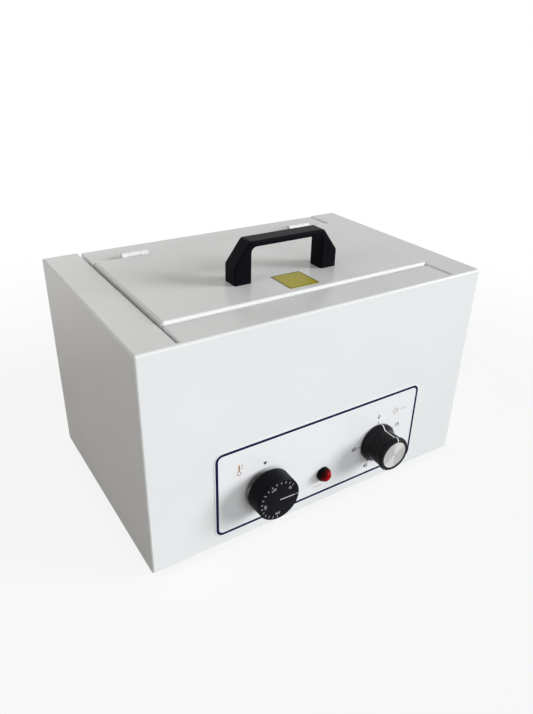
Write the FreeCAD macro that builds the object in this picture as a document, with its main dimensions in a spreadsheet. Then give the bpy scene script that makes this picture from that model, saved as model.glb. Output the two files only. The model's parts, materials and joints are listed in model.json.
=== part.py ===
import FreeCAD, Part
import math
import os
import Sketcher

# Benchtop dry heat sterilizer in folded sheet steel: a flush lid on two butt hinges over a stainless
# tank, with a thermostat dial, a pilot lamp and a timer knob on the front.
# Millimetres. X runs along the front to the right, Y to the back, Z up. The pieces are laid out in the
# cabinet frame, whose origin is in the middle of the cabinet's underside. "finish" then moves each
# piece so that the origin of the whole lies under the middle of its outer box, on the bench.

SIZES = {
    # Cabinet
    "cabinet_width": 340.0,
    "cabinet_depth": 220.0,
    "cabinet_height": 200.0,
    "steel_sheet": 1.2,
    "bend_radius": 2.0,
    "edge_round": 1.0,
    "side_strip": 33.0,
    "front_strip": 33.0,
    "rear_strip": 32.0,
    "groove_width": 3.0,
    "front_band": 3.5,
    "seat_drop": 12.0,
    "inner_flange": 12.0,
    "panel_fit": 0.3,
    "cut_overrun": 3.0,
    # Deck under the lid
    "deck_margin": 8.0,
    "deck_flange": 8.0,
    "mouth_margin": 14.0,
    # Lid
    "lid_sheet": 1.0,
    "lid_rise": 2.5,
    "lid_front_gap": 1.5,
    "lid_bottom_gap": 1.5,
    "pan_sheet": 0.8,
    "pan_fit": 0.2,
    "pan_gap": 0.3,
    "pan_turn_up": 6.0,
    "plug_drop": 4.0,
    "plug_margin": 6.0,
    "plug_corner": 8.0,
    "screw_pocket_radius": 8.0,
    # Hinges
    "hinge_inset": 40.0,
    "hinge_length": 26.0,
    "middle_knuckle": 11.0,
    "barrel_radius": 2.7,
    "barrel_rise": 3.0,
    "hinge_clearance": 0.3,
    "leaf_sheet": 1.2,
    "leaf_drop": 12.5,
    "pin_radius": 1.2,
    "pin_running_gap": 0.05,
    # Bridge handle and sticker
    "handle_length": 106.0,
    "handle_screw_spacing": 90.0,
    "handle_height": 36.0,
    "handle_foot": 16.0,
    "handle_slope_run": 15.0,
    "handle_width": 17.5,
    "handle_bar": 5.2,
    "handle_leg": 16.6,
    "handle_outer_round": 4.0,
    "handle_inner_round": 5.0,
    "handle_edge_round": 1.8,
    "handle_setback": 42.5,
    "handle_screw_radius": 3.0,
    "handle_screw_bite": 12.0,
    "handle_screw_head_radius": 5.5,
    "handle_screw_head": 3.5,
    "thread_gap": 0.05,
    "sticker_width": 30.0,
    "sticker_depth": 31.0,
    "sticker_film": 0.25,
    "sticker_corner": 1.0,
    "sticker_setback": 22.5,
    # Tank and its heating
    "tank_sheet": 0.8,
    "tank_fit": 0.5,
    "tank_flange": 6.0,
    "tank_corner": 12.0,
    "tank_bottom_round": 6.0,
    "gasket_width": 4.5,
    "gasket_height": 2.4,
    "gasket_inset": 0.5,
    "spreader_side_inset": 9.2,
    "spreader_plate": 3.0,
    "element_radius": 3.25,
    "element_inset": 12.0,
    "cold_end": 13.0,
    "bead_radius": 3.8,
    "bead_length": 8.0,
    "terminal_pin_radius": 1.5,
    "terminal_pin": 7.0,
    "terminal_clearance": 2.0,
    "clamp_inset": 16.0,
    "clamp_width": 10.0,
    "clamp_sheet": 1.2,
    "clamp_margin": 1.0,
    "wool_wall": 16.0,
    "wool_floor": 14.0,
    "wool_gap": 0.5,
    "jacket_clearance": 9.0,
    "jacket_sheet": 0.8,
    "jacket_lip": 8.0,
    # Instrument tray
    "tray_gap": 6.5,
    "tray_sheet": 0.8,
    "tray_height": 22.0,
    "tray_corner": 6.0,
    "tray_ear_height": 18.0,
    "tray_ear_width": 62.0,
    "tray_ear_slot": 44.0,
    "tray_ear_slot_height": 9.0,
    "tray_slot_width": 5.0,
    "tray_slot_margin": 17.0,
    "tray_slot_end": 20.0,
    # Sensing bulb
    "bulb_radius": 2.5,
    "bulb_length": 70.0,
    "capillary_radius": 1.0,
    "capillary_bend": 10.0,
    "capillary_hole": 2.5,
    "capillary_entry": 12.0,
    # Front controls
    "panel_width": 224.0,
    "panel_height": 87.0,
    "panel_bottom": 8.5,
    "panel_corner": 8.0,
    "panel_film": 0.4,
    "control_height": 45.0,
    "thermostat_left": 62.5,
    "timer_right": 63.5,
    "knob_gap": 1.5,
    "spindle_radius": 3.0,
    "spindle_flat": 2.0,
    "spindle_fit": 0.05,
    "spindle_running_gap": 0.08,
    "spindle_inside": 12.0,
    "bush_radius": 5.0,
    "hub_radius": 5.6,
    "hub_bore": 9.0,
    "dial_radius": 21.0,
    "dial_face_radius": 20.5,
    "dial_thickness": 16.0,
    "dial_wall": 2.2,
    "dial_web": 2.8,
    "dial_round": 1.2,
    "dial_hub_recess": 3.0,
    "dial_bush_reach": 1.6,
    "thermostat_width": 38.0,
    "thermostat_height": 44.0,
    "thermostat_depth": 30.0,
    "thermostat_screw_pitch": 28.0,
    "skirt_radius": 17.5,
    "skirt_thickness": 5.0,
    "grip_radius": 15.6,
    "grip_thickness": 15.0,
    "grip_slope": 1.0,
    "rim_radius": 16.6,
    "rim_thickness": 2.5,
    "rim_bevel": 1.4,
    "knob_bore_radius": 12.6,
    "knob_web": 3.5,
    "knob_hub_recess": 5.0,
    "knob_bush_reach": 5.0,
    "flute_radius": 0.9,
    "flute_depth": 0.55,
    "inlay_radius": 13.5,
    "inlay_plate": 0.9,
    "inlay_fit": 0.05,
    "inlay_sink": 0.25,
    "timer_width": 46.0,
    "timer_depth": 34.0,
    "timer_nut_radius": 8.0,
    "timer_nut": 3.0,
    "housing_round": 3.0,
    "tab_width": 6.3,
    "tab_sheet": 0.8,
    "tab_length": 9.0,
    "tab_pitch": 12.0,
    # Pilot lamp
    "lamp_height": 32.6,
    "bezel_radius": 5.9,
    "bezel_reach": 3.6,
    "bezel_round": 0.8,
    "lens_radius": 5.0,
    "lens_reach": 7.4,
    "lens_round": 3.4,
    "lens_seat": 1.2,
    "lamp_barrel_radius": 4.8,
    "lamp_barrel": 20.0,
    # Mains inlet on the back
    "inlet_inset": 52.0,
    "inlet_height": 34.0,
    "inlet_flange_width": 50.0,
    "inlet_flange_height": 23.0,
    "inlet_flange": 2.5,
    "inlet_corner": 4.0,
    "inlet_body_width": 27.4,
    "inlet_body_height": 19.6,
    "inlet_body_depth": 22.0,
    "socket_width": 24.0,
    "socket_height": 16.2,
    "socket_depth": 17.0,
    "socket_chamfer": 4.5,
    "blade_width": 4.0,
    "blade_sheet": 2.0,
    "blade_length": 15.0,
    "blade_spread": 7.0,
    "earth_rise": 2.0,
    "inlet_screw_pitch": 40.0,
    "inlet_screw_radius": 1.5,
    "inlet_screw_length": 8.0,
    # Other fittings
    "block_length": 34.0,
    "block_width": 18.0,
    "block_height": 14.0,
    "block_from_inlet": 50.0,
    "block_inset": 80.0,
    "block_well_radius": 2.0,
    "block_pitch": 10.0,
    "cutout_radius": 8.0,
    "cutout_height": 9.0,
    "cutout_ear": 12.0,
    "cutout_plate": 0.8,
    "cutout_offset": 30.0,
    "vent_pitch": 9.0,
    "vent_width": 3.0,
    "vent_length": 34.0,
    "vent_height": 56.0,
    "vent_inset": 50.0,
    # Feet and fasteners
    "foot_height": 6.0,
    "foot_radius": 10.0,
    "foot_taper": 1.0,
    "foot_inset": 30.0,
    "foot_recess": 3.0,
    "foot_recess_radius": 5.5,
    "screw_radius": 2.0,
    "screw_fit": 0.2,
    "screw_head_radius": 3.8,
    "screw_head": 2.2,
    "screw_tail": 3.0,
    "nut_radius": 4.0,
    "nut_height": 3.2,
    "rear_screw_inset": 7.0,
    "rear_screw_end": 22.0,
    "base_screw_inset": 40.0,
}
COUNTS = {
    "rear_vents": 7,
    "base_vents": 5,
    "flute_count": 24,
    "tray_slots": 10,
}

doc = FreeCAD.newDocument("DryHeatSterilizer")
sheet = doc.addObject("Spreadsheet::Sheet", "Sizes")
for row, (alias, amount) in enumerate({**SIZES, **COUNTS}.items(), start=1):
    sheet.set("A%d" % row, alias)
    sheet.set("B%d" % row, str(amount))
    sheet.setAlias("B%d" % row, alias)
doc.recompute()


class Size:
    """A length that carries both its number and the sheet formula that gives it."""

    def __init__(self, number, formula):
        self.number = number
        self.formula = formula

    def __add__(self, other):
        other = as_size(other)
        return Size(self.number + other.number, "(%s + %s)" % (self.formula, other.formula))

    def __sub__(self, other):
        other = as_size(other)
        return Size(self.number - other.number, "(%s - %s)" % (self.formula, other.formula))

    def __mul__(self, other):
        other = as_size(other)
        return Size(self.number * other.number, "(%s * %s)" % (self.formula, other.formula))

    def __truediv__(self, other):
        other = as_size(other)
        return Size(self.number / other.number, "(%s / %s)" % (self.formula, other.formula))

    def __neg__(self):
        return Size(-self.number, "(0 - %s)" % self.formula)

    def __radd__(self, other):
        return as_size(other) + self

    def __rsub__(self, other):
        return as_size(other) - self

    def __rmul__(self, other):
        return as_size(other) * self


def as_size(value):
    """Give a plain number the same form as a size from the sheet."""
    if isinstance(value, Size):
        return value
    return Size(float(value), repr(float(value)))


class Values:
    """The sheet's sizes by name."""

    def __getattr__(self, alias):
        return Size(SIZES[alias], "Sizes." + alias)


size = Values()

# Datums of the cabinet frame
half_width = size.cabinet_width / 2
front = -size.cabinet_depth / 2
back = size.cabinet_depth / 2
top = size.cabinet_height
strip_edge = half_width - size.side_strip
lid_half = strip_edge - size.groove_width
groove_front = front + size.front_band
front_ledge = front + size.front_strip
rear_ledge = back - size.rear_strip
seat_level = top - size.seat_drop

# Hinge axis and lid, worked back from the rear ledge
axis_y = rear_ledge - size.hinge_clearance - size.barrel_radius
axis_z = top + size.barrel_rise
lid_back = axis_y - size.barrel_radius - size.hinge_clearance
lid_front = front_ledge + size.lid_front_gap
lid_top = top + size.lid_rise
lid_bottom = seat_level + size.lid_bottom_gap
handle_y = lid_front + size.handle_setback
sticker_y = lid_front + size.sticker_setback

# Mouth of the deck and the tank that hangs in it
mouth_half = lid_half - size.mouth_margin
mouth_front = lid_front + size.mouth_margin
mouth_back = lid_back - size.mouth_margin
tank_half = mouth_half - size.tank_fit
tank_front = mouth_front + size.tank_fit
tank_back = mouth_back - size.tank_fit
tank_middle = (tank_front + tank_back) / 2
tank_top = seat_level + size.tank_sheet
pan_level = tank_top + size.gasket_height + size.pan_gap

# Heating, stacked from the clearance over the controls up to the tank
jacket_bottom = size.control_height + size.timer_width / 2 + size.jacket_clearance
wool_bottom = jacket_bottom + size.jacket_sheet
wool_cavity = wool_bottom + size.wool_floor
clamp_bottom = wool_cavity + size.wool_gap
clamp_top = clamp_bottom + size.clamp_sheet
element_level = clamp_top + size.element_radius
spreader_bottom = element_level + size.element_radius
tank_bottom = spreader_bottom + size.spreader_plate
tank_floor = tank_bottom + size.tank_sheet
wool_reach = tank_half + size.wool_gap
terminal_end = wool_reach - size.terminal_clearance
spreader_reach = terminal_end - size.terminal_pin - size.bead_length - size.cold_end
spreader_front = tank_front + size.spreader_side_inset
spreader_back = tank_back - size.spreader_side_inset
capillary_x = -size.thermostat_left

# Fittings placed from the nearer side of the cabinet
hinge_x = lid_half - size.hinge_inset
inlet_x = half_width - size.inlet_inset
vent_x = half_width - size.vent_inset

# Insides of the casing
inner_half = half_width - size.steel_sheet
inner_front = front + size.steel_sheet
plate_back = back - 2 * size.steel_sheet
base_top = 2 * size.steel_sheet

# The outer box runs from the timer knob's face to the inlet's flange
rim_level = size.knob_gap + size.skirt_thickness + size.grip_slope + size.grip_thickness
front_reach = rim_level + size.rim_thickness + size.rim_bevel
rear_reach = size.inlet_flange
cabinet_y = (front_reach - rear_reach) / 2

FACING_FRONT = FreeCAD.Rotation(FreeCAD.Vector(1, 0, 0), 90)
FACING_BACK = FreeCAD.Rotation(FreeCAD.Vector(1, 0, 0), -90)
ALONG = {
    "x": FreeCAD.Rotation(FreeCAD.Vector(0, 0, 1), FreeCAD.Vector(1, 0, 0)),
    "y": FreeCAD.Rotation(FreeCAD.Vector(0, 0, 1), FreeCAD.Vector(0, 1, 0)),
    "z": FreeCAD.Rotation(),
}

slot_end_share = 0.48
TOUCH = 1e-4

pieces = []
places = {}


def tie(item, name, value):
    """Bind a property of an object to the sheet."""
    item.setExpression(name, as_size(value).formula)


def put(item, point, turn=None):
    """Place an object at a point whose coordinates stay bound to the sheet."""
    if turn is not None:
        item.Placement = FreeCAD.Placement(FreeCAD.Vector(), turn)
    for axis, value in zip("xyz", point):
        tie(item, ".Placement.Base." + axis, value)
    places[item.Name] = point
    return item


def finish(item, name, at=(0, 0, 0), turn=None):
    """Name a finished piece and shift it from the cabinet frame to the frame of the whole."""
    low = places.get(item.Name, (0, 0, 0))
    x, y, z = (as_size(a) + b for a, b in zip(low, at))
    put(item, (x, y + cabinet_y, z + size.foot_height), turn)
    item.Label = name
    pieces.append(item)
    return item


def block(name, low, high):
    """A box between two corners."""
    item = doc.addObject("Part::Box", name)
    for edge, start, end in zip(("Length", "Width", "Height"), low, high):
        tie(item, edge, as_size(end) - start)
    return put(item, low)


def rod(name, radius, length, start, direction="z"):
    """A round bar from a point along X, Y or Z."""
    item = doc.addObject("Part::Cylinder", name)
    tie(item, "Radius", radius)
    tie(item, "Height", length)
    return put(item, start, ALONG[direction])


def cone(name, low_radius, high_radius, height, start):
    """A truncated cone standing on a point."""
    item = doc.addObject("Part::Cone", name)
    tie(item, "Radius1", low_radius)
    tie(item, "Radius2", high_radius)
    tie(item, "Height", height)
    return put(item, start)


def hexagon(name, radius, height, start):
    """A nut's six-sided prism standing on a point."""
    item = doc.addObject("Part::Prism", name)
    item.Polygon = 6
    tie(item, "Circumradius", radius)
    tie(item, "Height", height)
    return put(item, start)


def cut(base, *tools):
    """Take tools away from a base, one after the other."""
    for tool in tools:
        item = doc.addObject("Part::Cut", base.Name + "_cut")
        item.Base = base
        item.Tool = tool
        base = item
    return base


def fuse(*parts):
    """Join parts into one solid."""
    item = doc.addObject("Part::MultiFuse", parts[0].Name + "_joined")
    item.Shapes = list(parts)
    item.Refine = True
    return item


def group(*parts):
    """Keep alike solids together as one piece of several."""
    item = doc.addObject("Part::Compound", parts[0].Name + "_set")
    item.Links = list(parts)
    return item


def body(name):
    return doc.addObject("PartDesign::Body", name)


def sketch(solid, plane, level=0):
    """A sketch on one of the body's origin planes, moved along the plane's normal."""
    item = solid.newObject("Sketcher::SketchObject", solid.Name + "_sketch")
    datum = [face for face in solid.Origin.OriginFeatures if face.Role == plane]
    item.AttachmentSupport = [(datum[0], "")]
    item.MapMode = "FlatFace"
    tie(item, ".AttachmentOffset.Base.z", level)
    return item


def dimension(drawing, kind, *parts):
    """Add a constraint whose last entry is a size and bind it to the sheet."""
    value = as_size(parts[-1])
    entry = drawing.addConstraint(Sketcher.Constraint(kind, *parts[:-1], value.number))
    drawing.setExpression("Constraints[%d]" % entry, value.formula)


def polygon(drawing, points):
    """A closed outline of straight lines, each corner measured from the sketch's origin."""
    first = drawing.GeometryCount
    corners = [FreeCAD.Vector(as_size(x).number, as_size(y).number, 0) for x, y in points]
    for start, end in zip(corners, corners[1:] + corners[:1]):
        drawing.addGeometry(Part.LineSegment(start, end))
    for i in range(len(points)):
        following = (i + 1) % len(points)
        drawing.addConstraint(Sketcher.Constraint("Coincident", first + i, 2, first + following, 1))
    for i, (x, y) in enumerate(points):
        dimension(drawing, "DistanceX", -1, 1, first + i, 1, x)
        dimension(drawing, "DistanceY", -1, 1, first + i, 1, y)
    return drawing


def rectangle(drawing, left, low, right, high):
    return polygon(drawing, [(left, low), (right, low), (right, high), (left, high)])


def circle(drawing, x, y, radius):
    entry = drawing.GeometryCount
    centre = FreeCAD.Vector(as_size(x).number, as_size(y).number, 0)
    drawing.addGeometry(Part.Circle(centre, FreeCAD.Vector(0, 0, 1), as_size(radius).number))
    dimension(drawing, "DistanceX", -1, 1, entry, 3, x)
    dimension(drawing, "DistanceY", -1, 1, entry, 3, y)
    dimension(drawing, "Radius", entry, radius)
    return drawing


def quarter_arc(centre, radius, start_turn):
    """A quarter circle that starts a number of quarter turns round from X."""
    whole = Part.Circle(centre, FreeCAD.Vector(0, 0, 1), radius)
    return Part.ArcOfCircle(whole, start_turn * math.pi / 2, (start_turn + 1) * math.pi / 2)


def rounded(drawing, left, low, right, high, radius):
    """A rectangle with equal round corners."""
    first = drawing.GeometryCount
    x0, y0, x1, y1, r = (as_size(v).number for v in (left, low, right, high, radius))
    sides = [
        ((x0 + r, y0), (x1 - r, y0), (x1 - r, y0 + r), 3),
        ((x1, y0 + r), (x1, y1 - r), (x1 - r, y1 - r), 0),
        ((x1 - r, y1), (x0 + r, y1), (x0 + r, y1 - r), 1),
        ((x0, y1 - r), (x0, y0 + r), (x0 + r, y0 + r), 2),
    ]
    for start, end, centre, turn in sides:
        drawing.addGeometry(Part.LineSegment(FreeCAD.Vector(*start, 0), FreeCAD.Vector(*end, 0)))
        drawing.addGeometry(quarter_arc(FreeCAD.Vector(*centre, 0), r, turn))
    for side in range(4):
        line = first + 2 * side
        following = first + (2 * side + 2) % 8
        drawing.addConstraint(Sketcher.Constraint("Tangent", line, 2, line + 1, 1))
        drawing.addConstraint(Sketcher.Constraint("Tangent", line + 1, 2, following, 1))
        if side:
            drawing.addConstraint(Sketcher.Constraint("Equal", first + 1, line + 1))
    for line, kind in ((0, "Horizontal"), (2, "Vertical"), (4, "Horizontal"), (6, "Vertical")):
        drawing.addConstraint(Sketcher.Constraint(kind, first + line))
    dimension(drawing, "Radius", first + 1, radius)
    dimension(drawing, "DistanceY", -1, 1, first, 1, low)
    dimension(drawing, "DistanceX", -1, 1, first + 2, 1, right)
    dimension(drawing, "DistanceY", -1, 1, first + 4, 1, high)
    dimension(drawing, "DistanceX", -1, 1, first + 6, 1, left)
    return drawing


def slot(drawing, x, y, width, height):
    """A slot with nearly round ends about a point."""
    narrow = width if as_size(width).number < as_size(height).number else height
    reach, rise = width / 2, height / 2
    return rounded(drawing, x - reach, y - rise, x + reach, y + rise, narrow * slot_end_share)


def flatted_circle(drawing, radius, flat):
    """A circle with one flat, square to X, as on a spindle."""
    r, f = as_size(radius).number, as_size(flat).number
    half_chord = (r * r - f * f) ** 0.5
    upper = FreeCAD.Vector(f, half_chord, 0)
    lower = FreeCAD.Vector(f, -half_chord, 0)
    drawing.addGeometry(Part.Arc(upper, FreeCAD.Vector(-r, 0, 0), lower))
    drawing.addGeometry(Part.LineSegment(lower, upper))
    drawing.addConstraint(Sketcher.Constraint("Coincident", 0, 2, 1, 1))
    drawing.addConstraint(Sketcher.Constraint("Coincident", 1, 2, 0, 1))
    drawing.addConstraint(Sketcher.Constraint("Coincident", 0, 3, -1, 1))
    drawing.addConstraint(Sketcher.Constraint("Vertical", 1))
    dimension(drawing, "Radius", 0, radius)
    dimension(drawing, "DistanceX", -1, 1, 1, 1, flat)
    return drawing


def hairpin(drawing, left, right, low, high):
    """Two level runs joined by a half circle at their right end."""
    bend = (high - low) / 2
    x0, x1, y0, y1, r = (as_size(v).number for v in (left, right, low, high, bend))
    drawing.addGeometry(Part.LineSegment(FreeCAD.Vector(x0, y0, 0), FreeCAD.Vector(x1, y0, 0)))
    drawing.addGeometry(Part.LineSegment(FreeCAD.Vector(x1, y1, 0), FreeCAD.Vector(x0, y1, 0)))
    drawing.addGeometry(Part.Arc(FreeCAD.Vector(x1, y0, 0), FreeCAD.Vector(x1 + r, y0 + r, 0),
                                 FreeCAD.Vector(x1, y1, 0)))
    for line, ends, y in ((0, (left, right), low), (1, (right, left), high)):
        for end, x in enumerate(ends, start=1):
            dimension(drawing, "DistanceX", -1, 1, line, end, x)
            dimension(drawing, "DistanceY", -1, 1, line, end, y)
    drawing.addConstraint(Sketcher.Constraint("Coincident", 2, 1, 0, 2))
    drawing.addConstraint(Sketcher.Constraint("Coincident", 2, 2, 1, 1))
    dimension(drawing, "DistanceX", -1, 1, 2, 3, right)
    return drawing


def pad(solid, drawing, length, inward=False):
    """Raise a sketch along its normal, or against it."""
    item = solid.newObject("PartDesign::Pad", solid.Name + "_pad")
    item.Profile = drawing
    item.Reversed = inward
    tie(item, "Length", length)
    drawing.Visibility = False
    return item


def pocket(solid, drawing, depth, forward=False):
    """Cut a sketch into the body, against its normal or along it, and see that it cut something."""
    doc.recompute()
    before = solid.Shape.Volume
    item = solid.newObject("PartDesign::Pocket", solid.Name + "_pocket")
    item.Profile = drawing
    item.Reversed = forward
    tie(item, "Length", depth)
    doc.recompute()
    if solid.Shape.Volume >= before:
        raise RuntimeError("the pocket %s cuts nothing" % item.Name)
    return item


def repeat(solid, feature, drawing, run, count):
    """Repeat a feature along the sketch's horizontal axis."""
    row = solid.newObject("PartDesign::LinearPattern", count)
    row.Originals = [feature]
    row.Direction = (drawing, ["H_Axis"])
    tie(row, "Length", run)
    row.setExpression("Occurrences", "Sizes." + count)
    solid.Tip = row


def revolve(solid, drawing):
    """Turn a sketch of the XZ plane about Z."""
    item = solid.newObject("PartDesign::Revolution", solid.Name + "_turned")
    item.Profile = drawing
    item.ReferenceAxis = (drawing, ["V_Axis"])
    item.Angle = 360
    return item


def round_off(solid, radius, chosen):
    """Fillet the edges of the body that a test picks."""
    doc.recompute()
    shape = solid.Shape
    names = ["Edge%d" % (i + 1) for i, edge in enumerate(shape.Edges) if chosen(edge)]
    if not names:
        raise RuntimeError("no edge of %s to round" % solid.Name)
    base = solid.Tip
    item = solid.newObject("PartDesign::Fillet", solid.Name + "_round")
    item.Base = (base, names)
    tie(item, "Radius", radius)
    doc.recompute()
    return item


def close(a, b):
    return abs(as_size(a).number - as_size(b).number) < TOUCH


def upright(edge):
    """An edge that runs along Z."""
    box = edge.BoundBox
    return box.XLength < TOUCH and box.YLength < TOUCH


def across(edge):
    """An edge that runs along Y."""
    box = edge.BoundBox
    return box.XLength < TOUCH and box.ZLength < TOUCH


def level_at(edge, height):
    """An edge that lies at one height."""
    box = edge.BoundBox
    return close(box.ZMin, height) and close(box.ZMax, height)


def in_row(edge, axis, place):
    """An edge that lies in the plane where X or Y has one value."""
    box = edge.BoundBox
    low, high = (box.XMin, box.XMax) if axis == "x" else (box.YMin, box.YMax)
    return close(low, place) and close(high, place)


def on_outline(edge):
    """An edge at the front or at either side of the cabinet."""
    return (in_row(edge, "x", half_width) or in_row(edge, "x", -half_width)
            or in_row(edge, "y", front))


def on_opening(edge):
    """An edge round the opening in the top, other than those at the back."""
    box = edge.BoundBox
    within = abs(box.Center.x) <= strip_edge.number + TOUCH
    behind_band = box.YMin >= groove_front.number - TOUCH and box.YMax > groove_front.number
    return within and behind_band and not in_row(edge, "y", back)


def outer_casing():
    """Front, both sides and the top strips in one welded shell, open at the back and under the lid."""
    shell = body("casing")
    pad(shell, rectangle(sketch(shell, "XY_Plane"), -half_width, front, half_width, back), top)
    round_off(shell, size.bend_radius, lambda edge: upright(edge) and in_row(edge, "y", front))
    hollow = rectangle(sketch(shell, "XY_Plane"), -inner_half, inner_front, inner_half,
                       back + size.cut_overrun)
    pocket(shell, hollow, top - size.steel_sheet, forward=True)
    opening = [
        (-strip_edge, back), (-strip_edge, groove_front), (-lid_half, groove_front),
        (-lid_half, front_ledge), (lid_half, front_ledge), (lid_half, groove_front),
        (strip_edge, groove_front), (strip_edge, back),
    ]
    pocket(shell, polygon(sketch(shell, "XY_Plane", top), opening), 2 * size.steel_sheet)
    lip = size.steel_sheet
    folded = [
        (strip_edge + lip, back), (strip_edge + lip, groove_front - lip),
        (lid_half - lip, groove_front - lip), (lid_half - lip, front_ledge - lip),
        (-lid_half + lip, front_ledge - lip), (-lid_half + lip, groove_front - lip),
        (-strip_edge - lip, groove_front - lip), (-strip_edge - lip, back),
    ]
    lips = polygon(sketch(shell, "XY_Plane", seat_level), opening + folded)
    pad(shell, lips, size.seat_drop)
    reach = inner_half - size.inner_flange
    bottom = [
        (-inner_half, plate_back), (-inner_half, inner_front), (inner_half, inner_front),
        (inner_half, plate_back), (reach, plate_back), (reach, inner_front + size.inner_flange),
        (-reach, inner_front + size.inner_flange), (-reach, plate_back),
    ]
    pad(shell, polygon(sketch(shell, "XY_Plane"), bottom), size.steel_sheet)
    for near, far in ((-inner_half, -reach), (reach, inner_half)):
        flange = rectangle(sketch(shell, "XY_Plane"), near, plate_back, far, plate_back + size.steel_sheet)
        pad(shell, flange, top - size.steel_sheet)
    round_off(shell, size.bend_radius, lambda edge: level_at(edge, top) and on_outline(edge))
    round_off(shell, size.edge_round, lambda edge: level_at(edge, top) and on_opening(edge))
    fronts = sketch(shell, "XZ_Plane", -front)
    for x, z, radius in front_holes():
        circle(fronts, x, z, radius)
    pocket(shell, fronts, 2 * size.steel_sheet)
    screws = sketch(shell, "XY_Plane")
    for x, y in base_screw_places():
        circle(screws, x, y, size.screw_radius)
    pocket(shell, screws, size.steel_sheet, forward=True)
    ears = sketch(shell, "XZ_Plane", -plate_back)
    for x, z in rear_screw_places():
        circle(ears, x, z, size.screw_radius)
    pocket(shell, ears, size.steel_sheet)
    return finish(shell, "outer_casing")


def front_holes():
    """Centres and radii of the holes that the controls need in the front wall and its film."""
    thermostat, timer = -size.thermostat_left, size.timer_right
    reach = size.thermostat_screw_pitch / 2
    bush = size.bush_radius + size.panel_fit
    screw = size.screw_radius + size.screw_fit
    return [
        (thermostat, size.control_height, bush),
        (thermostat - reach, size.control_height, screw),
        (thermostat + reach, size.control_height, screw),
        (timer, size.control_height, bush),
        (0, size.lamp_height, size.lamp_barrel_radius + size.panel_fit),
    ]


def rear_screw_places():
    """Two rows of three screws that hold the rear cover to the casing's flanges."""
    x = half_width - size.rear_screw_inset
    levels = (size.rear_screw_end, top / 2, top - size.rear_screw_end)
    return [(side * x, z) for side in (-1, 1) for z in levels]


def base_screw_places():
    """Screws through the casing's bottom flanges into the base plate."""
    side = inner_half - size.inner_flange / 2
    ahead = inner_front + size.inner_flange / 2
    run = back - size.base_screw_inset
    across = half_width - size.base_screw_inset
    return [(-side, run), (-side, -run), (side, run), (side, -run), (-across, ahead), (across, ahead)]


def foot_places():
    x, y = half_width - size.foot_inset, back - size.foot_inset
    return {"front_left": (-x, -y), "front_right": (x, -y), "rear_left": (-x, y), "rear_right": (x, y)}


def rear_cover():
    """Back wall and rear top strip in one folded sheet, with the vents and the inlet's cut-out."""
    cover = body("cover")
    side = inner_half - size.panel_fit
    notch = strip_edge + size.steel_sheet + size.panel_fit
    shoulder = top - size.steel_sheet - size.panel_fit
    wall = [
        (-side, 0), (side, 0), (side, shoulder), (notch, shoulder), (notch, seat_level),
        (lid_half, seat_level), (lid_half, top), (-lid_half, top), (-lid_half, seat_level),
        (-notch, seat_level), (-notch, shoulder), (-side, shoulder),
    ]
    pad(cover, polygon(sketch(cover, "XZ_Plane", -back), wall), size.steel_sheet)
    inner_back = back - size.steel_sheet
    strip = rectangle(sketch(cover, "XY_Plane", top), -lid_half, rear_ledge, lid_half, inner_back)
    pad(cover, strip, size.steel_sheet, inward=True)
    lip = size.steel_sheet
    folded = [
        (-lid_half, inner_back), (-lid_half, rear_ledge), (lid_half, rear_ledge), (lid_half, inner_back),
        (lid_half - lip, inner_back), (lid_half - lip, rear_ledge + lip),
        (-lid_half + lip, rear_ledge + lip), (-lid_half + lip, inner_back),
    ]
    pad(cover, polygon(sketch(cover, "XY_Plane", seat_level), folded), size.seat_drop - size.steel_sheet)
    round_off(cover, size.bend_radius, lambda edge: level_at(edge, top) and in_row(edge, "y", back))
    round_off(cover, size.edge_round, lambda edge: level_at(edge, top) and not in_row(
        edge, "y", back - size.bend_radius))
    cutout = sketch(cover, "XZ_Plane", -back)
    reach = size.inlet_body_width / 2 + size.panel_fit
    rise = size.inlet_body_height / 2 + size.panel_fit
    rectangle(cutout, inlet_x - reach, size.inlet_height - rise,
              inlet_x + reach, size.inlet_height + rise)
    for side_sign in (-1, 1):
        x = inlet_x + side_sign * size.inlet_screw_pitch / 2
        circle(cutout, x, size.inlet_height, size.inlet_screw_radius)
    for x, z in rear_screw_places():
        circle(cutout, x, z, size.screw_radius + size.screw_fit)
    pocket(cover, cutout, size.steel_sheet, forward=True)
    vent = sketch(cover, "XZ_Plane", -back)
    slot(vent, -vent_x, size.vent_height, size.vent_width, size.vent_length)
    first = pocket(cover, vent, size.steel_sheet, forward=True)
    repeat(cover, first, vent, size.vent_pitch * (COUNTS["rear_vents"] - 1), "rear_vents")
    return finish(cover, "rear_cover")


def inner_deck():
    """Seat plate under the lid, with turned-down edges and the mouth that the tank hangs in."""
    deck = body("deck")
    side = strip_edge + size.steel_sheet + size.deck_margin
    ahead = inner_front + size.panel_fit
    behind = plate_back - size.panel_fit
    outer = rectangle(sketch(deck, "XY_Plane", seat_level), -side, ahead, side, behind)
    pad(deck, outer, size.steel_sheet + size.deck_flange, inward=True)
    lip = size.steel_sheet
    hollow = rectangle(sketch(deck, "XY_Plane", seat_level - size.steel_sheet - size.deck_flange),
                       -side + lip, ahead + lip, side - lip, behind - lip)
    pocket(deck, hollow, size.deck_flange, forward=True)
    mouth = rounded(sketch(deck, "XY_Plane", seat_level), -mouth_half, mouth_front, mouth_half,
                    mouth_back, size.tank_corner + size.tank_fit)
    pocket(deck, mouth, 2 * size.steel_sheet)
    return finish(deck, "inner_deck")


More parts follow.
